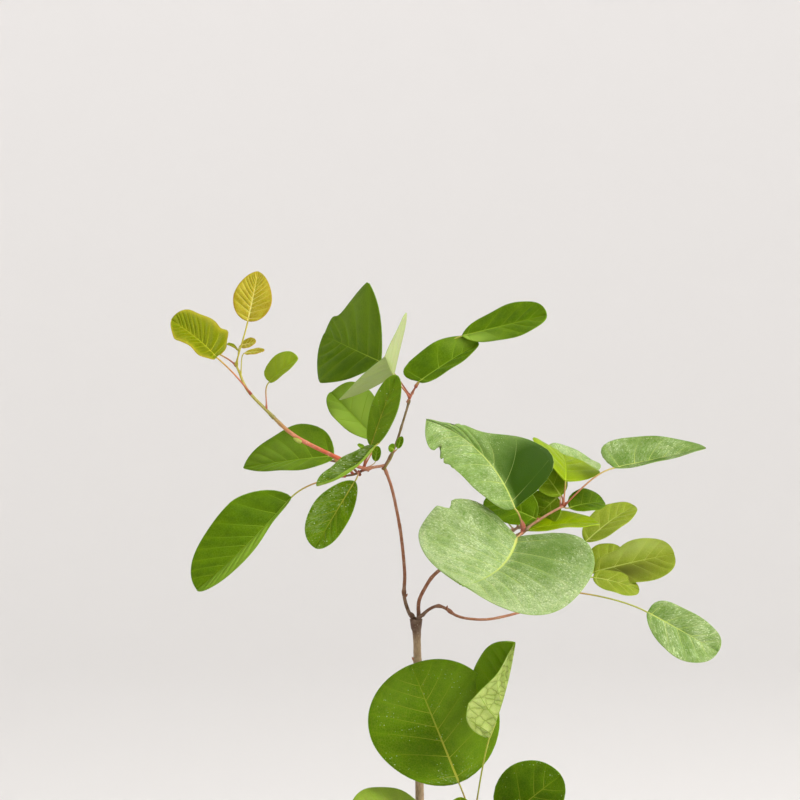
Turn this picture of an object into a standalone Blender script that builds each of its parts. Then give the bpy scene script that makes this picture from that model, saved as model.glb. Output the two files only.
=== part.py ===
"""A young smoke bush in a plain clay pot.

The plant stands on the pot's flat foot, z up, with the origin at the foot's centre and +X to the
right of the front view. Lengths in the tables are millimetres, and solids are made in metres.
"""
import math
import random

import bmesh
import bpy
from mathutils import Vector
from mathutils.kdtree import KDTree

# Sizes of the plant, in millimetres: x to the right, y away from the front, z up from the pot's foot.

POT_HEIGHT = 140.0
POT_TOP_RADIUS = 75.0
POT_FOOT_RADIUS = 52.0
RIM_HEIGHT = 24.0
RIM_STEP = 4.0
WALL = 6.0
FLOOR = 8.0
SOIL_BELOW_RIM = 12.0
SOIL_TOP = POT_HEIGHT - SOIL_BELOW_RIM
GAP = 0.3

# The front view's eye point, level with the middle of the crown.
EYE_DISTANCE = 1200.0
EYE_X = -11.0
EYE_HEIGHT = 418.0

# A plant that turns each new leaf by this angle shades none of the older ones.
GOLDEN_ANGLE = math.radians(137.5)

# How far apart the points of a limb's and a twig's curve lie.
LIMB_SPACING = 7.0
LIMB_CHECKS = 3.0
TWIG_SPACING = 5.0

# How close a leaf that the growing rule adds may come to another leaf or to a limb.
LEAF_CLEARANCE = 3.6


def seen(x, z, back=0.0):
    """The point at the depth back that shows at x, z of the stem's own plane from the front."""
    scale = (EYE_DISTANCE + back) / EYE_DISTANCE
    return Vector((EYE_X + (x - EYE_X) * scale, back, EYE_HEIGHT + (z - EYE_HEIGHT) * scale))


def unseen(point):
    """Where a point shows in the front view: x and z of the stem's own plane, with its depth."""
    scale = EYE_DISTANCE / (EYE_DISTANCE + point.y)
    return EYE_X + (point.x - EYE_X) * scale, point.y, EYE_HEIGHT + (point.z - EYE_HEIGHT) * scale


def both(value):
    """A pair of values for a leaf's left and right half, from one value or from two."""
    return value if isinstance(value, tuple) else (value, value)


class Leaf:
    """One leaf: a petiole from its stem, and a blade that is given by its base, tip and face.

    Halves are the widths of the left and right half of a blade that points up with its face to
    the viewer. Widest and ends shape the outline: where it is widest along the length, and how
    full it is towards base and tip. Margins are swellings and hollows of the outline, each with
    its half, its place along the blade, its size and its spread. Fold lifts each half off the
    midrib, flat is how much of that is gone at the tip, cup curls a half on towards the margin,
    and twist turns the blade about its midrib towards the tip. Bow arches the midrib, swing bends
    it sideways, lobe sweeps a half back past the base, and wave ruffles the margin. At is the
    share of its stem where the petiole starts, and lift raises it there, to clear a limb.
    """

    def __init__(self, name, base, tip, faces, halves, at=0.5, widest=0.5, ends=(2.0, 2.0), margins=(),
                 fold=10.0, flat=0.0, cup=0.0, twist=0.0, bow=0.05, swing=0.0, wave=0.01, lobe=0.0,
                 lift=None):
        self.name = name
        self.base = base
        self.tip = tip
        self.length = (tip - base).length
        self.along = (tip - base).normalized()
        face = Vector(faces)
        self.normal = (face - self.along * face.dot(self.along)).normalized()
        self.side = self.along.cross(self.normal)
        self.halves = both(halves)
        self.at = at
        self.widest = both(widest)
        self.ends = ends if isinstance(ends[0], tuple) else (ends, ends)
        self.margins = margins
        self.fold = both(fold)
        self.flat = flat
        self.cup = both(cup)
        self.twist = math.radians(twist)
        self.bow = bow
        self.swing = swing
        self.wave = wave
        self.lobe = both(lobe)
        self.lift = lift

    def share(self, u, half):
        """The width of one half at u along the blade, as a share of its widest."""
        widest = self.widest[half]
        if u < widest:
            reach, power = (widest - u) / widest, self.ends[half][0]
        else:
            reach, power = (u - widest) / (1 - widest), self.ends[half][1]
        share = max(0.0, 1 - reach ** power) ** (1 / power)
        for side, place, size, spread in self.margins:
            if side == half:
                share *= 1 + size * math.exp(-((u - place) / spread) ** 2)
        return share

    def frame(self, u):
        """The midrib's point at u, with its direction, the way across it and its normal."""
        arc = 4 * u * (1 - u) * self.length
        slope = 4 * (1 - 2 * u)
        middle = self.base + self.along * self.length * u + self.normal * self.bow * arc
        middle += self.side * self.swing * arc
        tangent = (self.along + self.normal * self.bow * slope + self.side * self.swing * slope).normalized()
        upright = (self.normal - tangent * self.normal.dot(tangent)).normalized()
        level = tangent.cross(upright)
        turn = self.twist * u
        across = level * math.cos(turn) + upright * math.sin(turn)
        return middle, tangent, across, upright * math.cos(turn) - level * math.sin(turn)

    def point(self, u, v):
        """The blade's point at u along it and v across it, from -1 at one margin to 1 at the other."""
        middle, tangent, across, normal = self.frame(u)
        half = 0 if v < 0 else 1
        reach = abs(v) * self.halves[half] * self.share(u, half)
        fold = self.fold[half] * (1 - self.flat * u)
        rise = math.radians(fold + self.cup[half] * reach / self.halves[half] / 2)
        outward = across * math.copysign(math.cos(rise), v) + normal * math.sin(rise)
        swept = tangent * self.lobe[half] * reach * (1 - u) ** 2
        ruffle = math.sin(2 * math.pi * (WAVES * u + WAVE_STEP * half))
        return middle + outward * reach - swept + normal * self.wave * self.length * v * v * ruffle

    def petiole(self, root):
        """The petiole's curve from its root in the stem to the blade's base."""
        reach = (self.base - root).length
        rise = reach * PETIOLE_ARCH if self.lift is None else self.lift
        first = root + (self.base - root) * 0.35 + Vector((0, 0, rise))
        second = self.base - self.along * min(reach * 0.3, self.length * 0.25)
        return bezier(root, first, second, self.base, PETIOLE_STEPS)

    def outline(self, steps=6):
        """Points along both margins and the midrib, for tests of clearance."""
        rows = [0.04 + 0.94 * step / steps for step in range(steps + 1)]
        return [self.point(u, v) for u in rows for v in (-1, -0.5, 0.001, 0.5, 1)]


WAVES = 2.2
WAVE_STEP = 0.3
PETIOLE_STEPS = 4
PETIOLE_ARCH = 0.06


def bezier(start, first, second, end, steps):
    """Points of a cubic curve with two handles."""
    points = []
    for step in range(steps + 1):
        t = step / steps
        s = 1 - t
        points.append(start * s ** 3 + first * 3 * s * s * t + second * 3 * s * t * t + end * t ** 3)
    return points


def smooth_path(stations, spacing):
    """Points with a radius along a smooth curve through stations of x, z, depth and radius."""
    knots = [(seen(x, z, back), radius) for x, z, back, radius in stations]
    ends = [(knots[0][0] * 2 - knots[1][0], knots[0][1])], [(knots[-1][0] * 2 - knots[-2][0], knots[-1][1])]
    knots = ends[0] + knots + ends[1]
    path = []
    for before, here, after, beyond in zip(knots, knots[1:], knots[2:], knots[3:]):
        count = max(1, round((after[0] - here[0]).length / spacing))
        for step in range(count):
            t = step / count
            place = 0.5 * (2 * here[0] + (after[0] - before[0]) * t
                           + (2 * before[0] - 5 * here[0] + 4 * after[0] - beyond[0]) * t * t
                           + (3 * here[0] - before[0] - 3 * after[0] + beyond[0]) * t ** 3)
            path.append((place, here[1] + (after[1] - here[1]) * t))
    path.append(knots[-2])
    return path


def along_path(path, share):
    """The point at a share of the path's length."""
    lengths = [(b[0] - a[0]).length for a, b in zip(path, path[1:])]
    left = share * sum(lengths)
    for (a, b), length in zip(zip(path, path[1:]), lengths):
        if left <= length:
            return a[0].lerp(b[0], left / length)
        left -= length
    return path[-1][0].copy()


# Each limb: x, z, depth and radius at the stations that its curve passes, from its foot to its end.
LIMBS = {
    "trunk": (
        (0.0, SOIL_TOP + GAP, 0, 5.6), (0.0, SOIL_TOP + 3, 0, 4.0), (-0.1, SOIL_TOP + 9, 0, 3.0),
        (-0.4, 168, 0, 2.45), (-1.2, 222, 0, 2.15), (-1.9, 268, 0, 2.0), (-2.5, 298, 0, 1.95),
        (-2.9, 304.5, 0, 2.7), (-3.0, 308.5, 0, 3.2)),
    "bough_left": (
        (-4.9, 309.5, 0, 1.35), (-6.6, 312, 0, 1.2), (-8.9, 320, 1, 1.15), (-8.7, 332, 2, 1.1),
        (-10.5, 350.5, 4, 1.05), (-13.2, 365.5, 5, 1.0), (-15.6, 375.5, 5, 1.0), (-18.7, 384, 4, 1.0)),
    "bough_left_fork": ((-20.1, 385, 4, 0.9), (-24, 384.4, 3.4, 0.95), (-27.6, 383.6, 3, 1.15)),
    "bough_right": (
        (-1.6, 309.5, 1.4, 1.3), (-1.6, 317, 1, 1.2), (1.5, 324, -1, 1.15), (6.5, 331, -4, 1.15),
        (16.5, 338, -7, 1.15), (29, 343.5, -9, 1.15), (43.5, 348.6, -10, 1.15)),
    "bough_low_right": (
        (-0.7, 309.8, -1.6, 1.15), (4, 313.6, -1, 1.0), (8.2, 315, 1, 0.95), (12.5, 313.4, 3, 1.05),
        (17, 310.3, 5, 0.9), (24, 308.6, 7, 0.85), (35, 308.6, 9, 0.85), (52, 312.8, 12, 0.85),
        (68, 319, 14, 0.85)),
    "bough_top": (
        (-18.4, 385.2, 4, 0.9), (-15.5, 390.5, 3, 0.85), (-12.5, 397.5, 2, 0.8), (-10, 405.5, 1, 0.75),
        (-7, 415.5, 0, 0.75), (-6.4, 418, 0, 0.85)),
    "bough_gold": (
        (-28.6, 383.7, 1.6, 1.0), (-33.5, 385.3, 0, 1.2), (-42, 389, -3, 1.35), (-58.5, 397, -7, 1.3),
        (-67.5, 403, -10, 1.25), (-75.2, 410.3, -12, 1.15)),
}


def off_trunk(height, heading, radius, slope=0.35, reach=3.0):
    """The first two stations of a shoot that leaves the trunk at a height towards a heading."""
    trunk = [seen(x, z, back) for x, z, back, thick in LIMBS["trunk"]]
    thick = [station[3] for station in LIMBS["trunk"]]
    step = max(index for index, place in enumerate(trunk) if place.z <= height)
    share = (height - trunk[step].z) / (trunk[step + 1].z - trunk[step].z)
    middle = trunk[step].lerp(trunk[step + 1], share)
    bark = thick[step] + (thick[step + 1] - thick[step]) * share
    out = Vector((math.cos(math.radians(heading)), math.sin(math.radians(heading)), 0))
    start = middle + out * (bark + GAP + radius * math.sin(math.atan(slope)))
    following = start + out * reach + Vector((0, 0, reach * slope))
    stations = []
    for place in (start, following):
        x, back, z = unseen(place)
        stations.append((x, z, back, radius))
    return tuple(stations)


LIMBS["bough_foot"] = off_trunk(177, 305, 1.3) + ((12, 191, -9, 1.2), (20, 197, -13, 1.15))

# The masses of leaves. Each has a stem of its own, twigs that fork from that stem, and the leaves
# that show from the front. Rows for the growing rule add more leaves on a named twig: the space
# that they keep to, how many, the first heading, the least and greatest length, and the seed.
MASSES = {}


def mass(name, stem, leaves, twigs=None, grows=()):
    """Enters a mass of leaves in the table."""
    MASSES[name] = {"twigs": {"stem": stem, **(twigs or {})}, "leaves": leaves, "grows": grows}


def shown(name, base, tip, back, faces, halves, **shape):
    """A leaf whose base and tip are where the front view shows them, at two depths."""
    return Leaf(name, seen(*base, back[0]), seen(*tip, back[1]), faces, halves, **shape)


mass("leaves_gold_tip",
     ((-75.7, 410.8, -12.1, 1.1), (-87, 422.6, -14, 0.95), (-91.5, 432.3, -15, 0.75), (-93.3, 436, -16, 0.6)),
     (
         shown("gold_top", (-87.1, 457.3), (-81.8, 482.2), (-16, -13), (0.1, -1, 0.1), 9.7, at=0.98,
               widest=0.44, ends=(2.0, 1.6), fold=8),
         shown("gold_left", (-103, 439.5), (-125.5, 458), (-22, -34), (0.2, -0.75, 0.6), (9.5, 13.7), at=0.45,
               widest=(0.6, 0.4), ends=((2.0, 2.8), (2.4, 2.1)), fold=12, wave=0.03, lobe=(0, 0.5),
               margins=((1, 0.2, 0.3, 0.07), (0, 0.85, 0.2, 0.08))),
         shown("gold_behind", (-101.5, 441), (-117, 450), (-4, 14), (0, -0.6, 0.8), 8, at=0.97),
         shown("gold_right", (-76.3, 427), (-62, 439.2), (-15, -20), (-0.3, -0.8, 0.5), (8.6, 3.6), at=0.1,
               ends=(2.2, 2.2), lobe=(0.4, 0)),
         shown("gold_bud_upper", (-90.5, 445.4), (-83, 447), (-13, -17), (0, -0.8, 0.6), 3.4, at=0.94,
               bow=0),
         shown("gold_bud_lower", (-88.5, 441.5), (-78.8, 442.6), (-18, -25), (0, -0.7, 0.7), 2.6, at=0.8,
               bow=0),
         shown("gold_bud_left", (-92, 442.8), (-97.5, 445.8), (-13, -17), (0, -0.5, 0.8), 2, at=0.97,
               fold=30),
     ))

mass("leaves_left",
     ((-28.5, 383.2, 4.3, 0.95), (-30, 382.6, 6.5, 0.9), (-34, 380.8, 7, 0.8), (-38.5, 380, 4, 0.65)),
     (
         shown("left_back", (-43.8, 390), (-89.2, 384), (8, 18), (-0.05, -0.8, 0.65), (8, 20), at=0.6,
               widest=0.37, ends=(2.2, 1.5), fold=12, bow=0.02),
         shown("left_big", (-65.2, 369.5), (-112.5, 323), (-12, -22), (0.1, -0.9, 0.35), (5.5, 20.5), at=0.99,
               widest=(0.6, 0.36), ends=((1.5, 2.3), (1.7, 2.1)), margins=((0, 0.2, -0.6, 0.2),),
               fold=12, swing=-0.03),
         shown("left_hanging", (-33.5, 377.3), (-53.5, 344), (-4, -12), (-0.1, -0.9, 0.3), (8.5, 12), at=0.35,
               widest=0.55, ends=(1.7, 2.1), bow=0.02),
         shown("left_boat", (-23.5, 395), (-52.8, 375), (-20, -30), (-0.5, -0.2, 0.85), (4.5, 8.5), at=0.15,
               ends=(1.9, 1.8), fold=(28, 55), bow=-0.1, lift=9),
         shown("left_upright", (-25.5, 395), (-12.5, 430.5), (-14, -34), (-0.1, -1, 0.15), (6.5, 8.2), at=0.1,
               widest=0.57, ends=(1.7, 2.1), fold=(15, 25), lift=9),
         shown("left_pale", (-24, 399), (-45.5, 421.5), (8, 22), (-0.3, -0.8, 0.5), (8.3, 15), at=0.12,
               widest=0.6, wave=0.03),
         shown("left_small_upper", (-28, 392.8), (-32.3, 395.6), (5, 3), (0, -0.6, 0.8), 2.1, at=0.12,
               lift=3),
         shown("left_small_lower", (-23.3, 387.4), (-22.1, 395), (7, 6), (-0.1, -1, 0.1), 2.4, at=0.05),
     ),
     twigs={"back": ((-32, 381.5, 6.4, 0.8), (-37, 385.5, 16, 0.75), (-48, 388, 27, 0.7),
                     (-60, 388, 38, 0.5))},
     grows=(("back", ((-112, -10), (20, 92), (322, 450)), 5, 60, 24, 38, 7),))

mass("leaves_top",
     ((-6.25, 418.7, 0, 0.8), (-5, 421.2, 0, 0.7), (-3, 425, -1, 0.6)),
     (
         shown("spike", (-14.2, 429.7), (-18.5, 439.5), (-9, -34), (-0.7, 0.5, 0.6), 30, at=0.05,
               ends=(1.3, 1.3), fold=(28, 12), bow=0),
         shown("top_big", (-20.2, 436.8), (-49, 450.5), (14, 50), (-0.71, -0.67, 0.2), (23, 36), at=0.15,
               widest=(0.66, 0.45), ends=((1.3, 1.5), (1.4, 1.1)),
               margins=((1, 0.82, -0.2, 0.12), (1, 0.95, 0.9, 0.05)), bow=0.03),
         shown("top_middle", (-1.5, 427.1), (28.3, 446.5), (-2, 4), (-0.3, -0.8, 0.5), (13.5, 5.6), at=0.98,
               widest=0.5, ends=(2.6, 1.9), lobe=(0.8, 0), bow=0.02),
         shown("top_right", (20, 450), (62.5, 460.5), (6, -4), (0.1, -0.8, 0.6), (11.5, 10.5), at=0.9,
               widest=(0.65, 0.5), ends=(1.6, 2.2), bow=0),
     ),
     grows=(("stem", ((-55, 60), (10, 80), (395, 480)), 3, 60, 22, 34, 2),))

mass("leaves_top_small",
     ((-17.7, 385.1, 2.4, 0.45), (-15.5, 388.6, 1.2, 0.45), (-13.9, 392.4, -0.4, 0.4)),
     (
         shown("small_round", (-14.2, 393.2), (-16.6, 395), (-2, -4), (0, -1, 0.3), 2.4, at=0.95),
         shown("small_long", (-12.2, 393.8), (-9.9, 399.8), (-1.6, -3), (-0.1, -1, 0.1), 1.8, at=0.95),
     ))

mass("leaves_right",
     ((44, 348.8, -10.1, 1.1), (49.8, 351.4, -10, 1.25), (54, 355, -8, 0.9), (59, 358.3, -5, 0.85),
      (65, 362, -1, 0.8), (71.2, 365.2, 3, 0.8)),
     (
         shown("front_big", (47.4, 349), (20, 325), (-14, -70), (0.18, -0.46, 0.87), (46, 43), at=0.2,
               ends=((2.4, 2.8), (2.6, 2.8)), bow=-0.03, swing=-0.08, fold=(30, 40), flat=1,
               margins=((1, 0.33, -0.1, 0.05),)),
         shown("front_upper", (46.4, 363.7), (2, 408.5), (-18, -30), (0.1, -0.8, 0.5), (19, 31),
               at=0.22, widest=(0.62, 0.16), ends=((2.3, 3.4), (2.8, 1.1)),
               margins=((1, 0.62, -0.5, 0.25), (1, 0.92, -0.75, 0.15), (0, 0.86, -0.16, 0.05)),
               swing=0.12, bow=0.02, lobe=(0, -0.25)),
         shown("tent", (71.7, 377.1), (70.5, 390.5), (2, 32), (0.43, -0.34, 0.81), (23, 18), at=0.98,
               ends=(1.4, 1.3), fold=15),
         shown("behind_tent", (69, 381), (84.4, 388), (24, 46), (0.2, -0.4, 0.8), (18, 12), at=0.99),
         shown("far_right", (96, 384), (142, 393.8), (0, 4), (-0.05, -0.75, 0.65), (16, 2.5), at=0.99,
               widest=(0.3, 0.4), ends=(2.2, 1.35), lobe=(0.75, 0), bow=0),
         shown("dark_oval", (73.5, 364), (91, 367), (14, 26), (-0.2, -0.8, 0.5), (9, 6), at=0.97,
               widest=0.55),
         shown("inner_up", (69.5, 370), (57, 386), (8, 18), (0, -0.8, 0.5), 9, at=0.96),
         shown("inner_pale", (68, 369.5), (56, 358), (8, 12), (0, -0.8, 0.5), 10, at=0.93),
         shown("under_left", (57, 358.5), (31.5, 368), (2, 12), (0, -0.8, 0.5), (10, 13), at=0.5),
         shown("flat_bright", (52, 352.5), (88.3, 356), (-2, 6), (0, -0.25, 0.95), 14, at=0.25),
     ),
     twigs={"back": ((52, 353.5, -9, 0.9), (48, 354, 6, 0.85), (44, 352, 22, 0.8), (38, 353, 40, 0.6))},
     grows=(("back", ((-2, 100), (14, 98), (312, 410)), 6, 40, 24, 40, 8),))

mass("leaves_low_right",
     ((68.4, 319.2, 14.1, 0.8), (75, 323, 15, 0.75), (79, 326, 17, 0.65)),
     (
         shown("blurred", (82, 347), (106, 365), (44, 66), (-0.3, -0.8, 0.5), (10, 8.5), at=0.95),
         shown("low_wide", (86, 332), (126, 341), (30, 34), (0, -0.85, 0.5), (11.5, 13.5), at=0.9,
               widest=0.6, ends=(1.9, 2.3), margins=((0, 0.3, -0.16, 0.12),), bow=0.03),
         shown("low_behind", (83, 332), (100, 343.5), (46, 60), (-0.2, -0.85, 0.5), 9, at=0.85),
         shown("low_narrow", (85.5, 329.3), (108.5, 322.8), (20, 22), (0.1, -0.6, 0.8), (7, 11), at=0.95,
               ends=(2.4, 2.0)),
         shown("low_end", (112.6, 311.9), (148, 292), (10, 6), (0.3, -0.9, 0.3), (11, 15.5), at=0.45,
               widest=(0.5, 0.54), ends=((3.2, 2.8), (1.6, 2.0)), bow=0.02),
     ))

mass("leaves_middle_back",
     off_trunk(247, 75, 1.2) + ((1, 252, 12, 1.15), (4, 258, 26, 1.0), (9, 262, 42, 0.7)),
     (),
     grows=(("stem", ((-20, 44), (10, 85), (228, 296)), 5, 20, 30, 42, 3),))

mass("leaves_foot_right",
     ((20.5, 197.5, -13.4, 1.1), (24, 202, -16, 1.0), (26, 206, -17, 0.85)),
     (
         shown("round", (18.5, 226.5), (-5.5, 285.7), (-24, -20), (0, -1, 0.2), (32, 32), at=0.97,
               widest=(0.56, 0.5), ends=((1.75, 2.1), (1.95, 2.1)), fold=4, bow=0.02),
         shown("folded", (33.5, 248.5), (46.7, 297), (-34, -30), (-1, -0.1, 0.2), (20.5, 25), at=0.9,
               widest=(0.62, 0.28), ends=((1.9, 2.4), (2.6, 0.9)), fold=(48, 48), bow=-0.03),
         shown("foot_dark", (40.5, 207), (69.5, 230.5), (-20, -26), (0, -0.9, 0.4), (18.5, 15.5),
               at=0.8),
         shown("foot_tip", (19, 209), (19.3, 219.5), (-30, -36), (0, -0.8, 0.4), 6, at=0.7),
     ),
     twigs={"out": ((22, 199.5, -14.5, 0.9), (34, 197, -22, 0.8), (48, 190, -30, 0.6))},
     grows=(("out", ((8, 95), (-80, 6), (146, 212)), 5, 300, 32, 44, 8),))

mass("leaves_foot_left",
     off_trunk(184, 200, 1.2) + ((-9, 190, -4, 1.0), (-20, 196, -8, 0.7)),
     (
         shown("foot_left", (7, 199.5), (-36, 210), (-17, -33), (0.1, -0.6, 0.85), (12, 21), at=0.5,
               ends=(2.2, 2.2)),
     ),
     grows=(("stem", ((-90, 0), (-75, 40), (142, 208)), 6, 150, 32, 46, 3),))

mass("leaves_foot_back",
     off_trunk(164, 80, 1.2) + ((2, 170, 10, 1.2), (8, 177, 22, 1.0), (14, 180, 36, 0.7)),
     (),
     grows=(("stem", ((-50, 80), (4, 95), (140, 212)), 7, 60, 32, 48, 4),))


# The growing rule: how often it tries, where on a twig, and a petiole's and a blade's slope.
TRIES = 4000
FIRST_STATION = 0.15
PETIOLE_REACH = (8.0, 17.0)
PETIOLE_RISE = (0.1, 0.8)
BLADE_DROOP = (-0.8, 0.5)
HEADING_SPREAD = 0.5
HALF_SHARE = (0.34, 0.41)

# The steps of a leaf's outline as it shows from the front.
OUTLINE_STEPS = 8

# The masses whose grown leaves stay where the front leaves hide them.
HIDDEN_MASSES = ("leaves_left", "leaves_top", "leaves_right", "leaves_middle_back")


def within(point, space):
    """Whether a point shows inside a space of ranges for x, depth and z."""
    return all(low <= value <= high for value, (low, high) in zip(unseen(point), space))


def front_outline(leaf):
    """A leaf's outline as it shows from the front."""
    rows = [step / OUTLINE_STEPS for step in range(OUTLINE_STEPS + 1)]
    corners = [leaf.point(u, -1) for u in rows] + [leaf.point(u, 1) for u in reversed(rows)]
    return [unseen(corner)[::2] for corner in corners]


def inside(x, z, outline):
    """Whether x, z lies inside an outline."""
    odd = False
    for (x1, z1), (x2, z2) in zip(outline, outline[1:] + outline[:1]):
        if (z1 > z) != (z2 > z) and x < x1 + (z - z1) * (x2 - x1) / (z2 - z1):
            odd = not odd
    return odd


def hidden(leaf, screens):
    """Whether the front leaves' outlines hide a leaf."""
    shown_at = [unseen(point)[::2] for point in leaf.outline()]
    return all(any(inside(x, z, outline) for outline in screens) for x, z in shown_at)


def near_tree(points):
    """A search tree of points."""
    tree = KDTree(len(points))
    for index, point in enumerate(points):
        tree.insert(point, index)
    tree.balance()
    return tree


def grown_leaf(name, root, heading, shortest, longest, chance):
    """One leaf that leaves the root towards the heading, with its size and slopes by chance."""
    rise = chance.uniform(*PETIOLE_RISE)
    out = Vector((math.cos(heading), math.sin(heading), rise)).normalized()
    base = root + out * chance.uniform(*PETIOLE_REACH)
    turned = heading + chance.uniform(-HEADING_SPREAD, HEADING_SPREAD)
    along = Vector((math.cos(turned), math.sin(turned), chance.uniform(*BLADE_DROOP))).normalized()
    length = chance.uniform(shortest, longest)
    faces = Vector((math.cos(turned) * 0.4, math.sin(turned) * 0.4, 0.9))
    half = length * chance.uniform(*HALF_SHARE)
    leaf = Leaf(name, base, base + along * length, faces, half, widest=chance.uniform(0.46, 0.56),
                ends=(2.1, 2.0), fold=chance.uniform(4, 16), bow=chance.uniform(0.0, 0.08))
    leaf.root = root
    return leaf


def grow(name, row, path, taken, screens, chance):
    """The leaves that the rule adds to one twig, clear of the taken points and behind the screens."""
    space, count, heading, shortest, longest = row
    added = []
    tree = near_tree(taken)
    for step in range(TRIES):
        if len(added) == count:
            break
        at = FIRST_STATION + (1 - FIRST_STATION) * ((step * 0.37 + 0.6) % 1)
        turn = math.radians(heading) + step * GOLDEN_ANGLE
        leaf = grown_leaf(f"{name}_{len(added) + 1}", along_path(path, at), turn, shortest, longest, chance)
        if not all(within(point, space) for point in leaf.outline()):
            continue
        if screens and not hidden(leaf, screens):
            continue
        points = leaf.outline() + leaf.petiole(leaf.root)[3:]
        if any(tree.find(point)[2] < LEAF_CLEARANCE for point in points):
            continue
        added.append(leaf)
        taken.extend(points)
        tree = near_tree(taken)
    return added


def plan():
    """Every limb's path, and every mass's twigs and leaves with their roots found."""
    limbs = {name: smooth_path(stations, LIMB_SPACING) for name, stations in LIMBS.items()}
    masses = {}
    taken = [place for row in LIMBS.values() for place, radius in smooth_path(row, LIMB_CHECKS)]
    for name, row in MASSES.items():
        twigs = {key: smooth_path(stations, TWIG_SPACING) for key, stations in row["twigs"].items()}
        for leaf in row["leaves"]:
            leaf.root = along_path(twigs["stem"], leaf.at)
            taken.extend(leaf.outline())
            taken.extend(leaf.petiole(leaf.root)[1:])
        masses[name] = {"twigs": twigs, "leaves": list(row["leaves"])}
    screens = [front_outline(leaf) for row in MASSES.values() for leaf in row["leaves"]]
    for name, row in MASSES.items():
        for twig, space, count, heading, shortest, longest, seed in row["grows"]:
            path = masses[name]["twigs"][twig]
            others = [masses[key]["twigs"].values() for key in MASSES if key != name]
            crowd = taken + [place for twigs in others for spots in twigs for place, radius in spots]
            row = (space, count, heading, shortest, longest)
            behind = screens if name in HIDDEN_MASSES else ()
            added = grow(f"{name}_{twig}", row, path, crowd, behind, random.Random(seed))
            masses[name]["leaves"] += added
            for leaf in added:
                taken.extend(leaf.outline())
                taken.extend(leaf.petiole(leaf.root)[3:])
    return limbs, masses


# How finely the solids are cut: across a blade and, by its length, along it, and round a tube.
BLADE_COLUMNS = 4
BLADE_ROWS = (4, 8)
LENGTH_PER_ROW = 9.0
BLADE_THICKNESS = 0.014
LEAST_THICKNESS = 0.7
WELD = 0.00001
MM = 0.001
LIMB_RESOLUTION, TWIG_RESOLUTION, PETIOLE_RESOLUTION = 2, 1, 0
TURNED_STEPS = 36
SHARP_DEGREES = 35.0

# A petiole's radius at its swollen foot, along its length, and where it runs into the blade, and
# how much of that a small leaf keeps.
PETIOLE_RADII = (0.75, 0.55, 0.5, 0.5, 0.5)
MIDRIB_SINK = (0.12,)
MIDRIB_RADII = (0.4,)
FULL_PETIOLE_LENGTH = 20.0
LEAST_PETIOLE = 0.5

SOIL_FLAT = 14.0
SOIL_SHOULDER = 12.0
SOIL_DROP = 3.0
LIP = 1.5
RIM_TAPER = 2.0

DRAIN_HOLES = 3
DRAIN_RADIUS = 4.5
DRAIN_CIRCLE = 24.0
DRAIN_RESOLUTION = 6

COLOURS = {
    "bark": (0.25, 0.17, 0.11),
    "leaf": (0.12, 0.24, 0.02),
    "gold": (0.45, 0.40, 0.05),
    "clay": (0.48, 0.19, 0.10),
    "soil": (0.045, 0.028, 0.018),
}


def clear_scene():
    """Starts from an empty scene."""
    for thing in list(bpy.data.objects):
        bpy.data.objects.remove(thing, do_unlink=True)


def new_collection(name):
    """A collection of the scene."""
    group = bpy.data.collections.new(name)
    bpy.context.scene.collection.children.link(group)
    return group


def paint(solid, colour, roughness):
    """Gives a solid its own plain material."""
    material = bpy.data.materials.new(solid.name)
    material.use_nodes = True
    shader = material.node_tree.nodes["Principled BSDF"]
    shader.inputs["Base Color"].default_value = (*COLOURS[colour], 1)
    shader.inputs["Roughness"].default_value = roughness
    solid.data.materials.clear()
    solid.data.materials.append(material)


def evaluated_mesh(thing):
    """The mesh of an object with its modifiers applied."""
    graph = bpy.context.evaluated_depsgraph_get()
    return bpy.data.meshes.new_from_object(thing.evaluated_get(graph))


def weld(mesh):
    """Joins a mesh's doubled corners and turns its faces outwards."""
    work = bmesh.new()
    work.from_mesh(mesh)
    bmesh.ops.remove_doubles(work, verts=work.verts, dist=WELD)
    bmesh.ops.recalc_face_normals(work, faces=work.faces)
    work.to_mesh(mesh)
    work.free()


def smooth(mesh):
    """Shades a round piece smooth, with its sharp edges kept."""
    mesh.shade_smooth()
    mesh.set_sharp_from_angle(angle=math.radians(SHARP_DEGREES))


def tube(name, path, resolution, group):
    """A closed tube along points that each have a radius."""
    curve = bpy.data.curves.new(name, "CURVE")
    curve.dimensions = "3D"
    curve.bevel_depth = MM
    curve.bevel_resolution = resolution
    curve.use_fill_caps = True
    line = curve.splines.new("POLY")
    line.points.add(len(path) - 1)
    for spot, (place, radius) in zip(line.points, path):
        spot.co = (*(place * MM), 1)
        spot.radius = radius
    bent = bpy.data.objects.new(name, curve)
    group.objects.link(bent)
    mesh = evaluated_mesh(bent)
    bpy.data.objects.remove(bent, do_unlink=True)
    weld(mesh)
    smooth(mesh)
    solid = bpy.data.objects.new(name, mesh)
    group.objects.link(solid)
    return solid


def blade(leaf, group):
    """The solid of one leaf's blade."""
    mesh = bpy.data.meshes.new(leaf.name)
    work = bmesh.new()
    rows = min(max(round(leaf.length / LENGTH_PER_ROW), BLADE_ROWS[0]), BLADE_ROWS[1])
    bmesh.ops.create_grid(work, x_segments=BLADE_COLUMNS, y_segments=rows, size=1)
    for corner in work.verts:
        u = (1 - math.cos(math.pi * (corner.co.y + 1) / 2)) / 2
        corner.co = leaf.point(u, corner.co.x) * MM
    bmesh.ops.remove_doubles(work, verts=work.verts, dist=WELD)
    work.to_mesh(mesh)
    work.free()
    solid = bpy.data.objects.new(leaf.name, mesh)
    group.objects.link(solid)
    shell = solid.modifiers.new("thickness", "SOLIDIFY")
    shell.thickness = max(LEAST_THICKNESS, leaf.length * BLADE_THICKNESS) * MM
    shell.offset = 0
    return solid


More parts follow.
